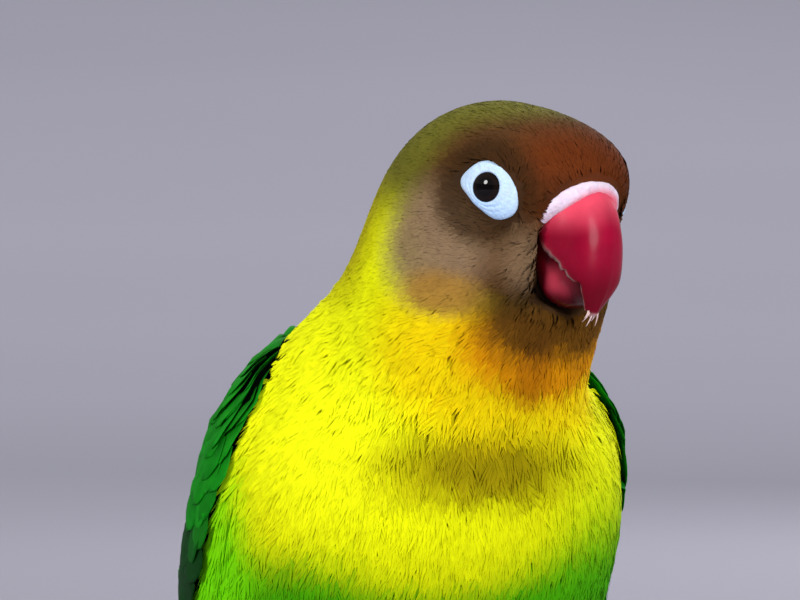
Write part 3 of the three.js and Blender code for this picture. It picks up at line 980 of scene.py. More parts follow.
def loft(name, rings, ends=(True, True)):
    """A skin over closed rings of points, with its ends closed by fans"""
    rows, around = rings.shape[:2]
    steps = np.arange(around)
    first = np.arange(rows - 1)[:, None] * around + steps
    second = np.roll(first, -1, 1)
    places = [rings.reshape(-1, 3)]
    faces = [np.stack((first, second, second + around, first + around), -1).reshape(-1, 4)]
    for closed, row in zip(ends, (0, rows - 1)):
        if closed:
            centre = rows * around + len(places) - 1
            places.append(rings[row].mean(0)[None])
            ring = row * around + steps
            fan = np.stack((ring, np.roll(ring, -1), np.full(around, centre), np.full(around, -1)), -1)
            if row == 0:
                fan[:, :2] = fan[:, 1::-1]
            faces.append(fan)
    piece = mesh_piece(name, np.concatenate(places), np.concatenate(faces))
    edit_all(piece, bpy.ops.mesh.normals_make_consistent, inside=False)
    return piece


WAVE_AXES = np.array(((0.8, 0.5, -0.33), (-0.42, 0.86, 0.29), (0.43, -0.1, 0.9)))


def grain(points, size):
    """An even, wavy number from -1 to 1 for each place, with waves of about size millimetres"""
    swayed = 1.7 * np.sin(points[:, ::-1] * (4.1 / size))
    waves = np.sin(points @ WAVE_AXES * (2 * math.pi / size) + swayed)
    return waves.sum(-1) / 3


# Bill and cere, on the head's frame: ahead and up of the ridge, ahead and up of the cutting edge,
# and half the width there

UPPER_BILL = (
    (15.0, 5.1, 10.9, -0.4, 5.0),
    (16.4, 3.2, 12.0, -2.3, 4.9),
    (17.3, 1.4, 12.9, -3.0, 4.65),
    (17.9, -0.4, 13.9, -3.6, 4.4),
    (18.2, -2.2, 14.8, -4.4, 4.1),
    (18.35, -4.0, 15.7, -5.2, 3.7),
    (18.3, -5.6, 16.7, -5.9, 3.0),
    (17.95, -7.1, 16.7, -7.4, 2.1),
    (17.5, -8.4, 16.4, -8.7, 1.25),
    (17.0, -9.6, 16.6, -9.7, 0.45),
)
LOWER_BILL = (
    (9.8, -0.8, 4.4, 2.2),
    (10.8, -3.3, 4.55, 3.0),
    (11.8, -5.4, 4.45, 2.9),
    (12.8, -7.2, 4.2, 2.4),
    (13.5, -8.3, 3.1, 1.7),
    (13.9, -8.9, 1.7, 0.9),
)
CERE_HALF = (
    (5.35, 11.1, -0.4, 0.3),
    (5.3, 12.2, 1.1, 0.65),
    (4.9, 13.2, 2.6, 0.9),
    (3.9, 14.1, 3.9, 0.95),
    (2.8, 14.6, 4.7, 0.85),
    (1.5, 14.85, 5.25, 0.75),
    (0.0, 14.9, 5.4, 0.7),
)
CERE_MIDDLE = tuple(np.array(CERE_HALF)[::-1, (0, 2)].T)
NOTCH_AT = 0.7
NOTCH_HALF = 0.03
NOTCH_DEPTH = 0.55
CERE_FLAT = 0.55
CERE_WIDE = 1.15
CERE_SUNK = 0.15
# The photo shows the bill a little to the bird's right of the solids, and wider
BILL_ASIDE = -0.35
BILL_WIDER = 1.05
LOWER_SHADE = 0.75
NOSTRIL = (3.0, 15.2, 5.0)
NOSTRIL_HALF = (0.55, 1.2, 0.4)
NOSTRIL_DEPTH = (0, 0.22, 0.1)


def upper_bill():
    """Half-round sections from the ridge down to crisp cutting edges, hollow underneath"""
    rows, around = 60, 56
    share = np.linspace(0, 1, rows)
    ridge_ahead, ridge_up, edge_ahead, edge_up, half = through(UPPER_BILL, share).T
    over = around * 5 // 7
    turn = np.linspace(-math.pi / 2, math.pi / 2, over)
    under = np.linspace(math.pi / 2, -math.pi / 2, around - over + 2)[1:-1]
    side = np.concatenate((np.sign(turn) * np.abs(np.sin(turn)) ** 0.86, np.sin(under)))
    rise = np.concatenate((np.cos(turn) ** 0.92, 0.3 * np.cos(under)))
    aside = (half * BILL_WIDER)[:, None] * side
    ahead = edge_ahead[:, None] + (ridge_ahead - edge_ahead)[:, None] * rise
    up = edge_up[:, None] + (ridge_up - edge_up)[:, None] * rise
    edge = np.exp(-(rise / 0.13) ** 2)
    notch = np.exp(-((share[:, None] - NOTCH_AT) / NOTCH_HALF) ** 2)
    worn = 0.16 * np.sin(share * 41) + 0.12 * np.sin(share * 67 + 1)
    up += edge * (NOTCH_DEPTH * notch + (worn * smooth(0.1, 0.4, share))[:, None])
    ridge = np.exp(-(side / 0.16) ** 2) * (rise > 0.5)
    ahead += ridge * 0.12
    rings = from_head(aside + BILL_ASIDE, ahead, up)
    piece = loft("bill_upper_horn", rings)
    local = to_head(points_of(piece))
    tip = smooth(-9.1, -9.8, local[:, 2])
    root = smooth(0.8, 4.8, local[:, 2] + 0.35 * np.abs(local[:, 0]))
    flank = smooth(1.5, 5.5, np.abs(local[:, 0]))
    # Pink near the cere is partly the bill's paler base and partly a painted highlight; darker down the
    # flanks, and darker below as painted shade
    colours = washed(palette("horn"), "horn_dark", 0.45 * flank * (1 - root))
    colours = washed(colours, "horn_light", 0.9 * root)
    colours = washed(colours, "horn_dark", 0.7 * smooth(-2, -6, local[:, 2]) * (1 - tip))
    pale = np.zeros(len(local))
    thin = np.exp(-(rise / 0.05) ** 2) * smooth(0.05, 0.2, share)[:, None]
    pale[: rows * around] = (0.8 * thin).ravel()
    pale = np.clip(pale * (0.75 + 0.5 * grain(local, 2.1)), 0, 1)
    paint(piece, washed(colours, "horn_pale", np.maximum(pale, 0.85 * tip)))
    return piece


def lower_bill():
    """A rounded scoop that closes under the upper bill"""
    rows, around = 36, 40
    share = np.linspace(0, 1, rows)
    ahead, up, half, deep = through(LOWER_BILL, share).T
    slope = unit(np.stack((np.gradient(ahead), np.gradient(up)), -1))
    turn = turns(around)
    side = half[:, None] * np.sign(np.cos(turn)) * np.abs(np.cos(turn)) ** 0.9
    out = deep[:, None] * np.sin(turn)
    ahead = ahead[:, None] - slope[:, 1:] * out
    up = up[:, None] + slope[:, :1] * out
    piece = loft("bill_lower_horn", from_head(side + BILL_ASIDE, ahead, up))
    local = to_head(points_of(piece))
    # Painted shade darkens the whole lower bill, and a painted highlight lies where it is lit
    lit = smooth(-3.4, -5.5, local[:, 2]) * smooth(-8.5, -6.5, local[:, 2]) * smooth(11.8, 13.5, local[:, 1])
    colours = washed(palette("horn_dark") * LOWER_SHADE, "horn_light", 0.4 * lit)
    edge = smooth(0.35, 0.9, share[:, None]) * smooth(0.75, 1.0, np.sin(turn))
    pale = np.zeros(len(local))
    pale[: rows * around] = (0.12 * edge).ravel()
    paint(piece, washed(colours, "horn_pale", pale))
    return piece


def cere_band():
    """A soft crescent of bare skin with a nostril on each side"""
    rows, around = 96, 20
    left = np.array(CERE_HALF)
    right = left[:-1] * (-1, 1, 1, 1)
    side, ahead, up, size = through(np.concatenate((right, left[::-1])), np.linspace(0, 1, rows)).T
    middle = from_head(side + BILL_ASIDE, ahead, up)
    along = unit(np.gradient(middle, axis=0))
    outward = unit(from_head(0, 1, 0.45) - HEAD_CENTRE)
    outward = unit(outward - along * (along @ outward)[:, None])
    across = np.cross(along, outward)
    turn = turns(around)[:, None]
    size = size * (1 + 0.02 * np.sin(np.arange(rows) * 0.9))
    ring = outward[:, None] * np.cos(turn) * CERE_FLAT + across[:, None] * np.sin(turn) * CERE_WIDE
    piece = loft("cere_skin", (middle - outward * CERE_SUNK)[:, None] + ring * size[:, None, None])
    places = points_of(piece)
    local = to_head(places)
    for hand in HANDS.values():
        hole = nearness(local, NOSTRIL * np.array((hand, 1, 1)), NOSTRIL_HALF)
        local -= np.array(NOSTRIL_DEPTH) * (1 - smooth(0.5, 1.3, hole))[:, None]
    places = from_head(*local.T)
    places += normals_of(piece) * (0.02 * grain(places, 0.8))[:, None]
    move_points(piece, places)
    low = smooth(0.5, -0.9, local[:, 2] - np.interp(np.abs(local[:, 0]), *CERE_MIDDLE))
    paint(piece, washed(palette("cere"), "horn_light", 0.85 * low))
    return piece


def splinter(name, root, tip, size):
    """One frayed flake at the worn tip of the bill"""
    share = np.linspace(0, 1, 4)
    middle = mix(root[None], tip[None], share[:, None]) + np.outer(share * (1 - share), HEAD_AHEAD) * 0.5
    turn = turns(5)[:, None]
    flat = HEAD_SIDE * np.cos(turn) + HEAD_AHEAD * np.sin(turn) * 0.45
    return loft(name, middle[:, None] + flat[None] * (size * (1 - 0.8 * share))[:, None, None])


# Flakes at the tip: aside, how far down and how wide
FLAKES = ((-0.9, 1.5, 0.22), (-0.5, 2.0, 0.26), (-0.1, 1.3, 0.3), (0.25, 1.9, 0.22), (-1.3, 0.9, 0.2))


class LOVEBIRD_OT_bill(bpy.types.Operator):
    """Model the hooked upper bill, the lower bill, the worn tip and the cere"""

    bl_idname = "lovebird.bill"
    bl_label = "Bill and cere"

    def execute(self, context):
        horn = horn_material("Polished bill keratin", 0.28, 0.06)
        finish_piece(upper_bill(), horn, "bill", "bill_upper")
        finish_piece(lower_bill(), horn, "bill", "bill_lower")
        for number, (aside, down, size) in enumerate(FLAKES):
            root = from_head(aside, 16.8, -9.0)
            tip = from_head(aside * 1.4 - 0.3, 16.2 + 0.2 * number, -9.0 - down)
            flake = splinter(f"bill_flake_{number}", root, tip, size)
            paint(flake, palette("horn_pale"))
            finish_piece(flake, horn, "bill")
        bare = bare_skin_material("Bare cere skin", 2200.0, 0.12, 0.55)
        finish_piece(cere_band(), bare, "cere", "cere")
        return {"FINISHED"}


# Eyes and their bare rings

EYE_RADIUS = 3.2
EYE_BULGE = 0.6
# The ring's outer edge by angle, from the bill side up and over to the back, then below
RING_EDGE = (3.8, 3.3, 3.1, 3.15, 3.3, 3.45, 3.85, 2.8, 2.6, 2.9, 4.0, 4.4)
LID_EDGE = (1.68, 1.72, 1.74, 1.7, 1.66, 1.7, 1.76, 1.74)
RING_BEND = 0.052
# Creases in the ring: share of the way out, half width and depth, deepest below the eye
CREASES = ((0.34, 0.055, 0.16), (0.62, 0.05, 0.08))
BELOW_EYE = math.radians(275)
# Rows of the ring: share from the lid's edge to the outer edge, and height over the eye's seat
RING_ROWS = (
    (0.0, -0.35), (0.0, 0.1), (0.04, 0.26), (0.14, 0.36), (0.3, 0.4), (0.5, 0.4), (0.68, 0.36),
    (0.84, 0.27), (0.95, 0.12), (1.0, -0.1), (1.0, -1.3),
)


def eye_axes(hand):
    """Outward, towards the bill and up, for one eye"""
    outward = unit(from_head(hand * 0.93, 0.32, 0.14) - HEAD_CENTRE)
    fore = unit(HEAD_AHEAD - outward * (HEAD_AHEAD @ outward))
    up = np.cross(outward, fore)
    return outward, fore, up * np.sign(up[2])


def looped(values, share):
    """A smooth closed curve through evenly spaced values"""
    count = len(values)
    padded = np.array([values[which % count] for which in range(-2, count + 3)])[:, None]
    return through(padded, (share * count + 2) / (count + 4))[:, 0]


def eye_ring(hand):
    """Bare skin round one eye, from the dark lid out to the feathers, with painted shade on its lower part"""
    outward, fore, up = eye_axes(HANDS[hand])
    seat = EYES[hand] + outward * (EYE_RADIUS - EYE_BULGE)
    around = 144
    share = np.arange(around) / around
    turn = share * 2 * math.pi
    inner = looped(LID_EDGE, share)
    outer = looped(RING_EDGE, share)
    rows = through(RING_ROWS, np.linspace(0, 1, 34))
    radius = inner + (outer - inner) * rows[:, :1]
    height = np.repeat(rows[:, 1:], around, 1)
    folds = np.sin(turn * 31 + 2 * np.sin(turn * 5)) + 0.6 * np.sin(turn * 53 + 1)
    middle = np.exp(-((rows[:, :1] - 0.55) / 0.32) ** 2)
    height += 0.014 * folds * middle
    below = np.exp(-((turn - BELOW_EYE + math.pi) % (2 * math.pi) - math.pi) ** 2)
    for at, width, depth in CREASES:
        wavy = at + 0.025 * np.sin(turn * 7)
        height -= depth * np.exp(-((rows[:, :1] - wavy) / width) ** 2) * (0.35 + 0.65 * below)
    over = radius * np.cos(turn)
    high = radius * np.sin(turn)
    sink = RING_BEND * radius ** 2
    rings = seat + over[..., None] * fore + high[..., None] * up + (height - sink)[..., None] * outward
    piece = loft(f"eye_ring_skin_{hand}", rings, (False, False))
    # Painted shade: the lower part of the ring darker and bluer
    low = smooth(0.2, 1.0, -np.sin(turn)) * np.ones_like(rows[:, :1])
    colours = mix(palette("ring"), palette("ring") * (0.7, 0.8, 1.0), (0.6 * low).ravel()[:, None])
    lid = np.exp(-((rows[:, :1]) / 0.035) ** 2) * np.ones_like(turn)
    colours = mix(colours, palette("dark") * 0.7, (0.75 * lid).ravel()[:, None])
    paint(piece, colours)
    return piece


def eyeball(hand):
    """A ball with a dark iris, placed and turned so that its pole looks outward"""
    outward = eye_axes(HANDS[hand])[0]
    deselect()
    bpy.ops.mesh.primitive_uv_sphere_add(segments=64, ring_count=48, radius=EYE_RADIUS * MM)
    piece = bpy.context.object
    piece.name = f"eyeball_{hand}"
    piece.rotation_mode = "QUATERNION"
    piece.rotation_quaternion = Vector(outward).to_track_quat("Z", "Y")
    piece.location = EYES[hand] * MM
    bpy.ops.object.transform_apply(location=True, rotation=True, scale=True)
    bpy.ops.object.shade_smooth()
    local = points_of(piece) - EYES[hand]
    aside = length_of(local - outward * (local @ outward)[:, None])
    colours = mix(palette("iris") * 0.1, palette("iris") * 0.6, smooth(1.12, 1.25, aside)[:, None])
    colours = mix(colours, palette("iris") * 0.2, smooth(1.5, 1.8, aside)[:, None])
    paint(piece, colours)
    return piece


def cornea_material(name):
    """A wet, dark eye: nearly a mirror for the lamps"""
    material, tree, shader, painted = painted_material(name)
    shade(
        shader,
        Base_Color=mottled(tree, painted, 1500.0, 0.8, 1.2),
        Roughness=0.04, Specular_IOR_Level=0.3, IOR=1.376, Coat_Weight=0.1, Coat_Roughness=0.02,
    )
    return material


class LOVEBIRD_OT_eyes(bpy.types.Operator):
    """Model the eyes and the wrinkled white rings of bare skin round them"""

    bl_idname = "lovebird.eyes"
    bl_label = "Eyes"

    def execute(self, context):
        bare = bare_skin_material("Bare eye-ring skin", 2600.0, 0.1, 0.5)
        wet = cornea_material("Wet cornea")
        for hand in HANDS:
            finish_piece(eye_ring(hand), bare, "eye_ring", f"eye_ring_{hand}")
            finish_piece(eyeball(hand), wet, "eye", f"eye_{hand}")
        return {"FINISHED"}


# Feet

TOE_VOXEL = 0.16
CLAW_VOXEL = 0.07


class LOVEBIRD_OT_feet(bpy.types.Operator):
    """Round off the shanks and toes, cover them with scales, and smooth the claws"""

    bl_idname = "lovebird.feet"
    bl_label = "Feet"

    def execute(self, context):
        scaly = bare_skin_material("Scaly leg skin", 1500.0, 0.3, 0.6)
        horn = horn_material("Claw horn", 0.35, 0.3)
        for hand in HANDS:
            for limb in [f"shank_{hand}"] + [f"toe_{toe}_{hand}" for toe in TOES]:
                piece = grown_together((limb,), f"{limb}_skin", TOE_VOXEL * MM, 0, 5)
                dusk = 0.85 + 0.15 * grain(points_of(piece), 3.0)
                paint(piece, palette("leg") * dusk[:, None])
                finish_piece(piece, scaly, "leg_skin", limb)
            for toe in TOES:
                node_name = f"claw_{toe}_{hand}"
                piece = grown_together((node_name,), f"{node_name}_horn", CLAW_VOXEL * MM, 0, 3)
                paint(piece, palette("claw"))
                finish_piece(piece, horn, "claw", node_name)
        return {"FINISHED"}


# Wings and tail


PRIMARIES = 9
SECONDARIES = 10
LONG_STATIONS = 22
COVERT_STATIONS = 7
# Long feathers side by side: how many, the edges they lie between, where they start and the part of
# the body's line they span, where the first and the last one end, how far across those two lie, half
# a feather's width, the lift of the first and the last one, and how much of the length tapers
LONG_FEATHERS = {
    "primaries_vanes": (
        PRIMARIES, PRIMARY_LOWER, PRIMARY_UPPER, (0.12, PRIMARY_START, PRIMARY_END),
        (0.92, 0.62), (0.35, 0.97), 2.6, (0.25, 0.45), 0.16,
    ),
    "secondaries": (
        SECONDARIES, WING_LOWER, WING_UPPER, (0.42, WING_START, WING_END),
        (0.96, 0.86), (0.06, 0.94), 3.0, (0.3, 0.15), 0.14,
    ),
}
# Coverts: how far along their rows end, how far apart rows of size 1 are, how far each one reaches,
# and the wing's radius, which gives how many lie side by side
COVERTS_END = 0.62
COVERT_STEP = 0.036
COVERT_REACH = 0.105
WING_RADIUS = 24
# Rays for places on the wing start this far out from the body's line. One that misses ends nearer in
RAY_START = 45
RAY_REACH = 60
RAY_MISSED = 20


class WingSurface:
    """Finds places on the outside of one folded wing"""

    def __init__(self, hand, under):
        self.hand = HANDS[hand]
        self.tree = tree_of(*(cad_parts[f"{part}_{hand}"] for part in ("wing", "primaries")), under)

    def place(self, part, angle):
        centre, ahead = bend(BODY_LINE, part)
        back = np.cross((1.0, 0.0, 0.0), ahead)
        turn = math.radians(angle)
        out = back * math.cos(turn) + np.array((self.hand, 0.0, 0.0)) * math.sin(turn)
        start = centre + out * RAY_START
        hit = self.tree.ray_cast(start.tolist(), (-out).tolist(), RAY_REACH)[0]
        return centre + out * RAY_MISSED if hit is None else np.array(hit), out

    def path(self, parts, angles):
        """Places and outward directions through pairs of part and angle"""
        found = [self.place(part, angle) for part, angle in zip(parts, angles)]
        return np.array([place for place, _ in found]), np.array([out for _, out in found])


VANE_COLUMNS = np.array((-1.0, -0.7, -0.35, 0.0, 0.35, 0.7, 1.0))
VANE_DEPTH = 0.4
CORE_DEPTH = 0.6
CORE_VOXEL = 0.4


def vane_outline(share, point):
    """Half width along a vane: narrow at the root, full, then rounded or pointed at the tip"""
    root = 0.62 + 0.38 * smooth(0, 0.35, share)
    tip = np.sqrt(np.clip(1 - (np.clip(share - 1 + point, 0, None) / point) ** 2, 0.004, 1))
    return root * tip


def grid_patches(piece, count, points_each):
    """A map in which every vane has a cell of its own, laid out in a grid"""
    wide = math.ceil(math.sqrt(count))
    vane = read(piece.data.uv_layers["Vane"].data, "uv", 2)
    which = (corners_of(piece) % (count * points_each)) // points_each
    low, high = vane.min(0), vane.max(0)
    inside = 0.04 + 0.92 * (vane - low) / (high - low)
    cell = np.stack((which % wide, which // wide), -1)
    layer = piece.data.uv_layers.new(name="OFBake")
    layer.data.foreach_set("uv", ((cell + inside) / wide).astype(np.float32).ravel())


def build_vanes(name, paths, outs, half, lift, point, colours, dice, thick=0.1):
    """A piece of overlapping vanes: paths and outs are rows of stations, with a half width for each"""
    count, rows = paths.shape[:2]
    columns = len(VANE_COLUMNS)
    share = np.linspace(0, 1, rows)
    along = unit(np.gradient(paths, axis=1))
    side = unit(np.cross(outs, along))
    out = unit(np.cross(along, side))
    wide = half[:, None] * vane_outline(share, point)[None]
    rise = lift[:, None] * (0.15 + 0.85 * smooth(0, 0.8, share)[None]) - VANE_DEPTH
    tilt = dice.normal(0.0, 0.05, count)[:, None, None]
    places = paths[:, :, None] + side[:, :, None] * (wide[:, :, None] * VANE_COLUMNS)[..., None]
    camber = -0.1 * wide[:, :, None] * VANE_COLUMNS ** 2 + tilt * wide[:, :, None] * VANE_COLUMNS
    ridge = 0.04 * (VANE_COLUMNS == 0)
    places = places + out[:, :, None] * (rise[:, :, None] + camber + ridge)[..., None]
    cell = (np.arange(rows - 1)[:, None] * columns + np.arange(columns - 1)).ravel()
    quads = np.stack((cell, cell + columns, cell + columns + 1, cell + 1), -1)
    faces = quads[None] + (np.arange(count) * rows * columns)[:, None, None]
    if dot(np.cross(along[0, 0], side[0, 0]), out[0, 0]) < 0:
        faces = faces[:, :, ::-1]
    piece = mesh_piece(name, places.reshape(-1, 3), faces.reshape(-1, 4))
    paint(piece, colours(count, share, VANE_COLUMNS).reshape(-1, 3))
    lengths = length_of(np.diff(paths, axis=1)).sum(1)
    vane = np.stack((
        wide[:, :, None] * VANE_COLUMNS,
        (lengths[:, None] * share[None])[:, :, None] * np.ones(columns),
    ), -1)
    add_map(piece, "Vane", vane.reshape(-1, 2))
    apply_modifier(piece, "SOLIDIFY", thickness=thick * MM, offset=-1.0)
    grid_patches(piece, count, rows * columns)
    return piece


def tinted(base, edge, tip, dice, spread):
    """Colours for vanes: a darker shaft and root, lighter edges and tip, each vane a little different"""
    def colours(count, share, columns):
        own = dice.normal(1, spread, (count, 1, 1, 1))
        rim = (np.abs(columns) ** 3)[None, None, :, None]
        end = smooth(0.7, 1.0, share)[None, :, None, None]
        shown = mix(np.atleast_2d(base)[:, None, None], np.atleast_2d(edge)[:, None, None], 0.7 * rim)
        shown = mix(shown, np.atleast_2d(tip)[:, None, None], 0.5 * end)
        shown = shown * (0.62 + 0.38 * smooth(0.0, 0.5, share))[None, :, None, None]
        return shown * own * np.ones((count, len(share), len(columns), 1))
    return colours


def covert_rows(surface, dice):
    """Paths of the small wing feathers in staggered rows, getting longer towards the flight feathers,
    with half widths and how dark each one is: those low on the edge of the wing are nearly black,
    partly the dark flight feathers there and partly painted shade between the wing and the flank"""
    paths, outs, halves, shadows = [], [], [], []
    along = 0.0
    row = 0
    while along < COVERTS_END:
        size = mix(0.8, 1.5, smooth(0.1, 0.55, along))
        half = sizes().covert / MM / 2 * size
        reach = COVERT_REACH * size * (1.0 + 0.4 * smooth(0.4, 0.6, along))
        upper, lower = at_pairs(WING_UPPER, along), at_pairs(WING_LOWER, along)
        girth = math.radians(lower - upper) * WING_RADIUS
        count = max(3, round(girth / (half * 1.2)))
        for step in range(count):
            share = (step + 0.5 * (row % 2) + 0.25) / count
            share = min(max(share, 0.02), 0.99) + dice.normal(0, 0.006)
            length = reach * dice.uniform(0.9, 1.12)
            stations = np.clip(along - 0.01 + np.linspace(0, 1, COVERT_STATIONS) * length, 0, 1)
            angles = mix(at_pairs(WING_UPPER, stations), at_pairs(WING_LOWER, stations), share)
            path, out = surface.path(mix(WING_START, WING_END, stations), angles)
            paths.append(path)
            outs.append(out)
            halves.append(half * dice.uniform(0.9, 1.1))
            shadows.append(smooth(0.24, 0.34, along) * smooth(0.6, 0.8, share))
        along += COVERT_STEP * size
        row += 1
    return np.array(paths), np.array(outs), np.array(halves), np.array(shadows)


def long_rows(surface, count, lower, upper, span, ends, shares):
    """Paths of long feathers side by side, from span's start to each one's own end"""
    paths, outs = [], []
    for which in range(count):
        share = mix(*shares, which / (count - 1))
        stations = np.linspace(span[0], mix(*ends, which / (count - 1)), LONG_STATIONS)
        angles = mix(at_pairs(upper, stations), at_pairs(lower, stations), share)
        path, out = surface.path(mix(span[1], span[2], stations), angles)
        paths.append(path)
        outs.append(out)
    return np.array(paths), np.array(outs)


class LOVEBIRD_OT_wings(bpy.types.Operator):
    """Lay coverts, secondaries and primaries over a smooth core in each folded wing"""

    bl_idname = "lovebird.wings"
    bl_label = "Wings"

    def execute(self, context):
        firm = vane_material("Wing feather vanes", 0.6, 0.88)
        core_skin = skin_material("Feathered wing skin")
        green, dark = palette("wing"), palette("flight")
        for hand in HANDS:
            dice = np.random.default_rng(5 + HANDS[hand])
            parts = (f"wing_{hand}", f"primaries_{hand}")
            core = grown_together(parts, f"wing_core_{hand}", CORE_VOXEL * MM, 0, 6)
            move_points(core, points_of(core) - normals_of(core) * CORE_DEPTH)
            paint(core, dark)
            finish_piece(core, core_skin, "wing_plumage", *parts)
            surface = WingSurface(hand, bpy.data.objects["skin"])

            looks = {
                "primaries_vanes": (dark, mix(dark, green, 0.35), dark * 1.6, "flight_feathers"),
                "secondaries": (mix(green, dark, 0.45), green * 1.2, green, "wing_plumage"),
            }
            for name, (count, *layout, half, lifts, point) in LONG_FEATHERS.items():
                *tints, slot = looks[name]
                vanes = build_vanes(
                    f"{name}_{hand}", *long_rows(surface, count, *layout), np.full(count, half),
                    np.linspace(*lifts, count), point, tinted(*tints, dice, 0.1), dice)
                finish_piece(vanes, firm, slot)

            paths, outs, half, shadow = covert_rows(surface, dice)
            count = len(half)
            base = mix(green, palette("mantle"), 0.2 * dice.random((count, 1)))
            # Partly the dark flight feathers below, partly painted shade between the wing and the flank
            base = mix(base, dark, 0.85 * shadow[:, None])
            bars = tinted(base, base * 1.25, base * 1.2, dice, 0.1)
            lift = np.full(count, 0.32) * dice.uniform(0.85, 1.15, count)
            coverts = build_vanes(f"coverts_{hand}", paths, outs, half, lift, 0.6, bars, dice, 0.03)
            finish_piece(coverts, firm, "wing_plumage")
        return {"FINISHED"}


TAIL_FEATHERS = 12
TAIL_LINE = np.array(((0.0, 6.72, 29.0), (0.0, 24.72, 15.2), (0.0, 47.22, 0.45)))
# Half the width and half the depth by share of the length, with the width even beyond TAIL_FULL
TAIL_HALF = ((0, 5), (0.3, 7.6), (0.65, 9.2), (0.82, 8.8))
TAIL_DEEP = ((0, 3.4), (0.35, 2.6), (0.7, 1.4), (1, 0.9))
TAIL_FULL = 0.72
TAIL_ROOT = 0.18
TAIL_SPREAD = 0.86
TAIL_VANE = 2.1
TAIL_LIFT = 0.5
# The upper and the lower fan: side, brightness, lift in the middle and how it changes outward, thickness. The
# lower fan's lower brightness is painted shade
TAIL_FANS = {"upper": (1, 1.0, 0.5, -0.4, 0.1), "lower": (-1, 0.7, 0.02, 0.1, 0.06)}


def on_tail(part, share, over):
    """A place on the tail's upper or lower side and the way out from it"""
    place, ahead = bend(TAIL_LINE, part)
    out = np.cross((1.0, 0.0, 0.0), ahead) * over
    half = at_pairs(TAIL_HALF, min(part, TAIL_FULL))
    round_off = math.sqrt(max(1 - share ** 2, 0.0))
    return place + np.array((share * half, 0, 0)) + out * at_pairs(TAIL_DEEP, part) * round_off, out


class LOVEBIRD_OT_tail(bpy.types.Operator):
    """Fan the tail feathers above and below, with the middle pair on top"""

    bl_idname = "lovebird.tail"
    bl_label = "Tail"

    def execute(self, context):
        dice = np.random.default_rng(3)
        firm = vane_material("Tail feather vanes", 0.5, 0.82)
        green = palette("mantle")
        shares = np.linspace(-1, 1, TAIL_FEATHERS)
        for name, (over, shown, lift, outward, thick) in TAIL_FANS.items():
            paths, outs = [], []
            for share in shares:
                stations = np.linspace(TAIL_ROOT, 1.0 - 0.13 * abs(share) ** 1.6, LONG_STATIONS)
                found = [on_tail(part, share * TAIL_SPREAD, over) for part in stations]
                path = np.array([place for place, _ in found])
                path[:, 2] = np.maximum(path[:, 2], TAIL_LIFT)
                paths.append(path)
                outs.append(np.array([out for _, out in found]))
            # Painted shade: the lower fan is the same colours made darker
            base = mix(green, palette("belly"), 0.3) * shown
            bars = tinted(base, green * 0.8 * shown, palette("rump") * shown, dice, 0.08)
            vanes = build_vanes(
                f"tail_{name}", np.array(paths), np.array(outs), np.full(TAIL_FEATHERS, TAIL_VANE),
                lift + outward * np.abs(shares), 0.12, bars, dice, thick)
            finish_piece(vanes, firm, "tail_feathers")
        return {"FINISHED"}


# Stage and camera

PHOTO_WIDTH = 800
PHOTO_HEIGHT = 600
EYES_PIXEL = (546.8, 190.0)
PIXELS_PER_MM = 8.4
CAMERA_TURN = math.radians(-20)
SENSOR = 36


def camera_place():
    """The camera's place, level with the frame's middle row, so that the eyes fall on their pixel"""
    look = np.array((-math.sin(CAMERA_TURN), math.cos(CAMERA_TURN), 0))
    right = np.array((math.cos(CAMERA_TURN), math.sin(CAMERA_TURN), 0))
    aside = (EYES_PIXEL[0] - PHOTO_WIDTH / 2) / PIXELS_PER_MM
    above = (PHOTO_HEIGHT / 2 - EYES_PIXEL[1]) / PIXELS_PER_MM
    distance = sizes().camera_distance / MM
    return EYES_MIDDLE - right * aside - np.array((0, 0, above)) - look * distance


FLOOR_RADIUS = 0.45
BOWL_REACH = 9.0
BOWL_HEIGHT = 3.0
WALL_ROWS = 36
BIRD = (0, -0.02, 0.08)
# Each lamp: its name, place, aim, size, power and tint
LAMPS = (
    ("key", (-1.2, -0.5, 0.75), BIRD, 0.4, 12.5, (1.0, 0.99, 0.97)),
    ("fill", (0.5, -1.5, 0.45), BIRD, 0.85, 18, (0.97, 0.98, 1.0)),
    ("back", (0.7, 0.9, 0.6), BIRD, 0.7, 4, (1.0, 1.0, 1.0)),
    ("wash", (1.0, 2.8, 3.8), (0.75, 2.1, 0), 2.4, 78, (0.98, 0.99, 1.0)),
)
SKY = (0.95, 0.97, 1.0, 1)
SKY_STRENGTH = 0.4


def backdrop():
    """A round floor that curves up into a shallow bowl, graded from painted shade near the bird to lighter
    far off
    """
    rise = math.pi / 2 * np.arange(WALL_ROWS + 1) / WALL_ROWS
    radius = np.concatenate(((0.15, 0.3), FLOOR_RADIUS + BOWL_REACH * np.sin(rise)))
    height = np.concatenate(((0.0, 0.0), BOWL_HEIGHT * (1 - np.cos(rise))))
    turn = turns(96)
    rings = np.stack(np.broadcast_arrays(
        radius[:, None] * np.cos(turn), radius[:, None] * np.sin(turn), height[:, None]), -1)
    piece = loft("stage", rings / MM, (True, False))
    material, tree, shader = new_material("Studio wall with painted shade")
    where = node(tree, "ShaderNodeTexCoord").outputs["Object"]
    away = node(tree, "ShaderNodeVectorMath", {0: where}, operation="LENGTH").outputs["Value"]
    # Painted shade and light: darker near the bird, where the lamps fall brightest, lighter further off
    tone = node(tree, "ShaderNodeMapRange", {0: away, 1: 0.9, 2: 1.9, 3: 0.86, 4: 1.12}).outputs[0]
    graded = node(tree, "ShaderNodeVectorMath", {0: palette("backdrop"), "Scale": tone}, operation="SCALE")
    shade(
        shader,
        Base_Color=mottled(tree, graded.outputs["Vector"], 1.5, 0.97, 1.02, 1.0),
        Roughness=0.95, Specular_IOR_Level=0.1,
    )
    piece.data.materials.append(material)
    return piece


def lamp(name, place, aim, size, power, tint):
    data = bpy.data.lights.new(name, "AREA")
    data.shape = "DISK"
    data.size = size
    data.energy = power
    data.color = tint
    piece = add_object(name, data)
    piece.location = place
    piece.rotation_euler = (Vector(aim) - Vector(place)).to_track_quat("-Z", "Y").to_euler()


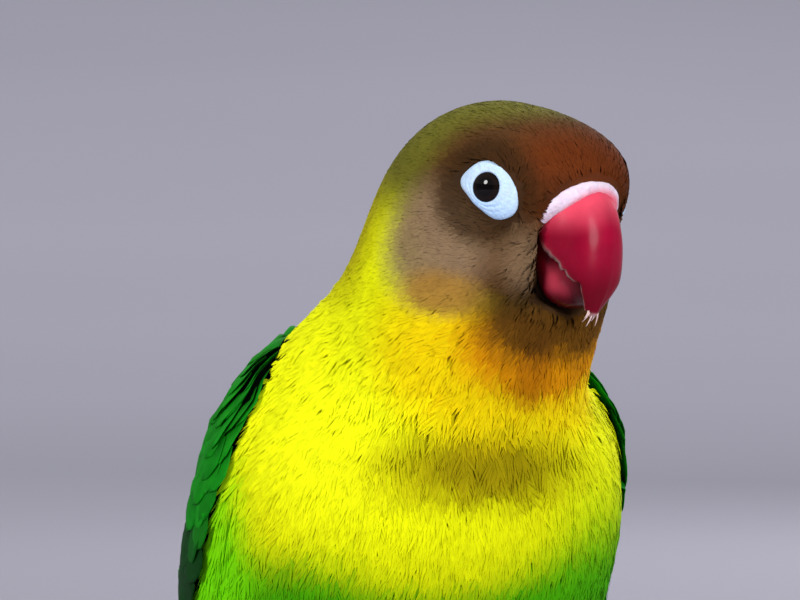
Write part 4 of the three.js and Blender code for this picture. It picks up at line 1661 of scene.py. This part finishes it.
class LOVEBIRD_OT_stage(bpy.types.Operator):
    """Add the pale floor that curves up into a bowl, the soft lamps and the camera"""

    bl_idname = "lovebird.stage"
    bl_label = "Stage and camera"

    def execute(self, context):
        stage = backdrop()
        for row in LAMPS:
            lamp(*row)
        world = bpy.data.worlds.new("Studio")
        context.scene.world = world
        world.use_nodes = True
        sky = world.node_tree.nodes["Background"]
        sky.inputs["Color"].default_value = SKY
        sky.inputs["Strength"].default_value = SKY_STRENGTH
        data = bpy.data.cameras.new("camera")
        data.sensor_width = SENSOR
        data.lens = SENSOR * PIXELS_PER_MM * (sizes().camera_distance / MM) / PHOTO_WIDTH
        camera = add_object("camera", data)
        camera.location = camera_place() * MM
        camera.rotation_euler = (math.pi / 2, 0, CAMERA_TURN)
        context.scene.camera = camera
        context.scene.view_settings.view_transform = "Standard"
        return {"FINISHED"}


class LOVEBIRD_PT_panel(bpy.types.Panel):
    """The bird's pieces and settings"""

    bl_idname = "LOVEBIRD_PT_panel"
    bl_label = "Lovebird"
    bl_space_type = "VIEW_3D"
    bl_region_type = "UI"
    bl_category = "Lovebird"

    def draw(self, context):
        for operator in OPERATORS:
            self.layout.operator(operator.bl_idname)
        for group in (context.scene.lovebird_sizes, context.scene.lovebird_colours):
            box = self.layout.box()
            for key in group.__annotations__:
                box.prop(group, key)


OPERATORS = (
    LOVEBIRD_OT_stage,
    LOVEBIRD_OT_skin,
    LOVEBIRD_OT_bill,
    LOVEBIRD_OT_eyes,
    LOVEBIRD_OT_coat,
    LOVEBIRD_OT_wings,
    LOVEBIRD_OT_tail,
    LOVEBIRD_OT_feet,
)
CLASSES = (LovebirdSizes, LovebirdColours, *OPERATORS, LOVEBIRD_PT_panel)


def register():
    for kind in CLASSES:
        bpy.utils.register_class(kind)
    bpy.types.Scene.lovebird_sizes = bpy.props.PointerProperty(type=LovebirdSizes)
    bpy.types.Scene.lovebird_colours = bpy.props.PointerProperty(type=LovebirdColours)


def unregister():
    del bpy.types.Scene.lovebird_colours
    del bpy.types.Scene.lovebird_sizes
    for kind in reversed(CLASSES):
        bpy.utils.unregister_class(kind)


def main():
    register()
    for operator in OPERATORS:
        area, name = operator.bl_idname.split(".")
        getattr(getattr(bpy.ops, area), name)()


if __name__ == "__main__":
    main()
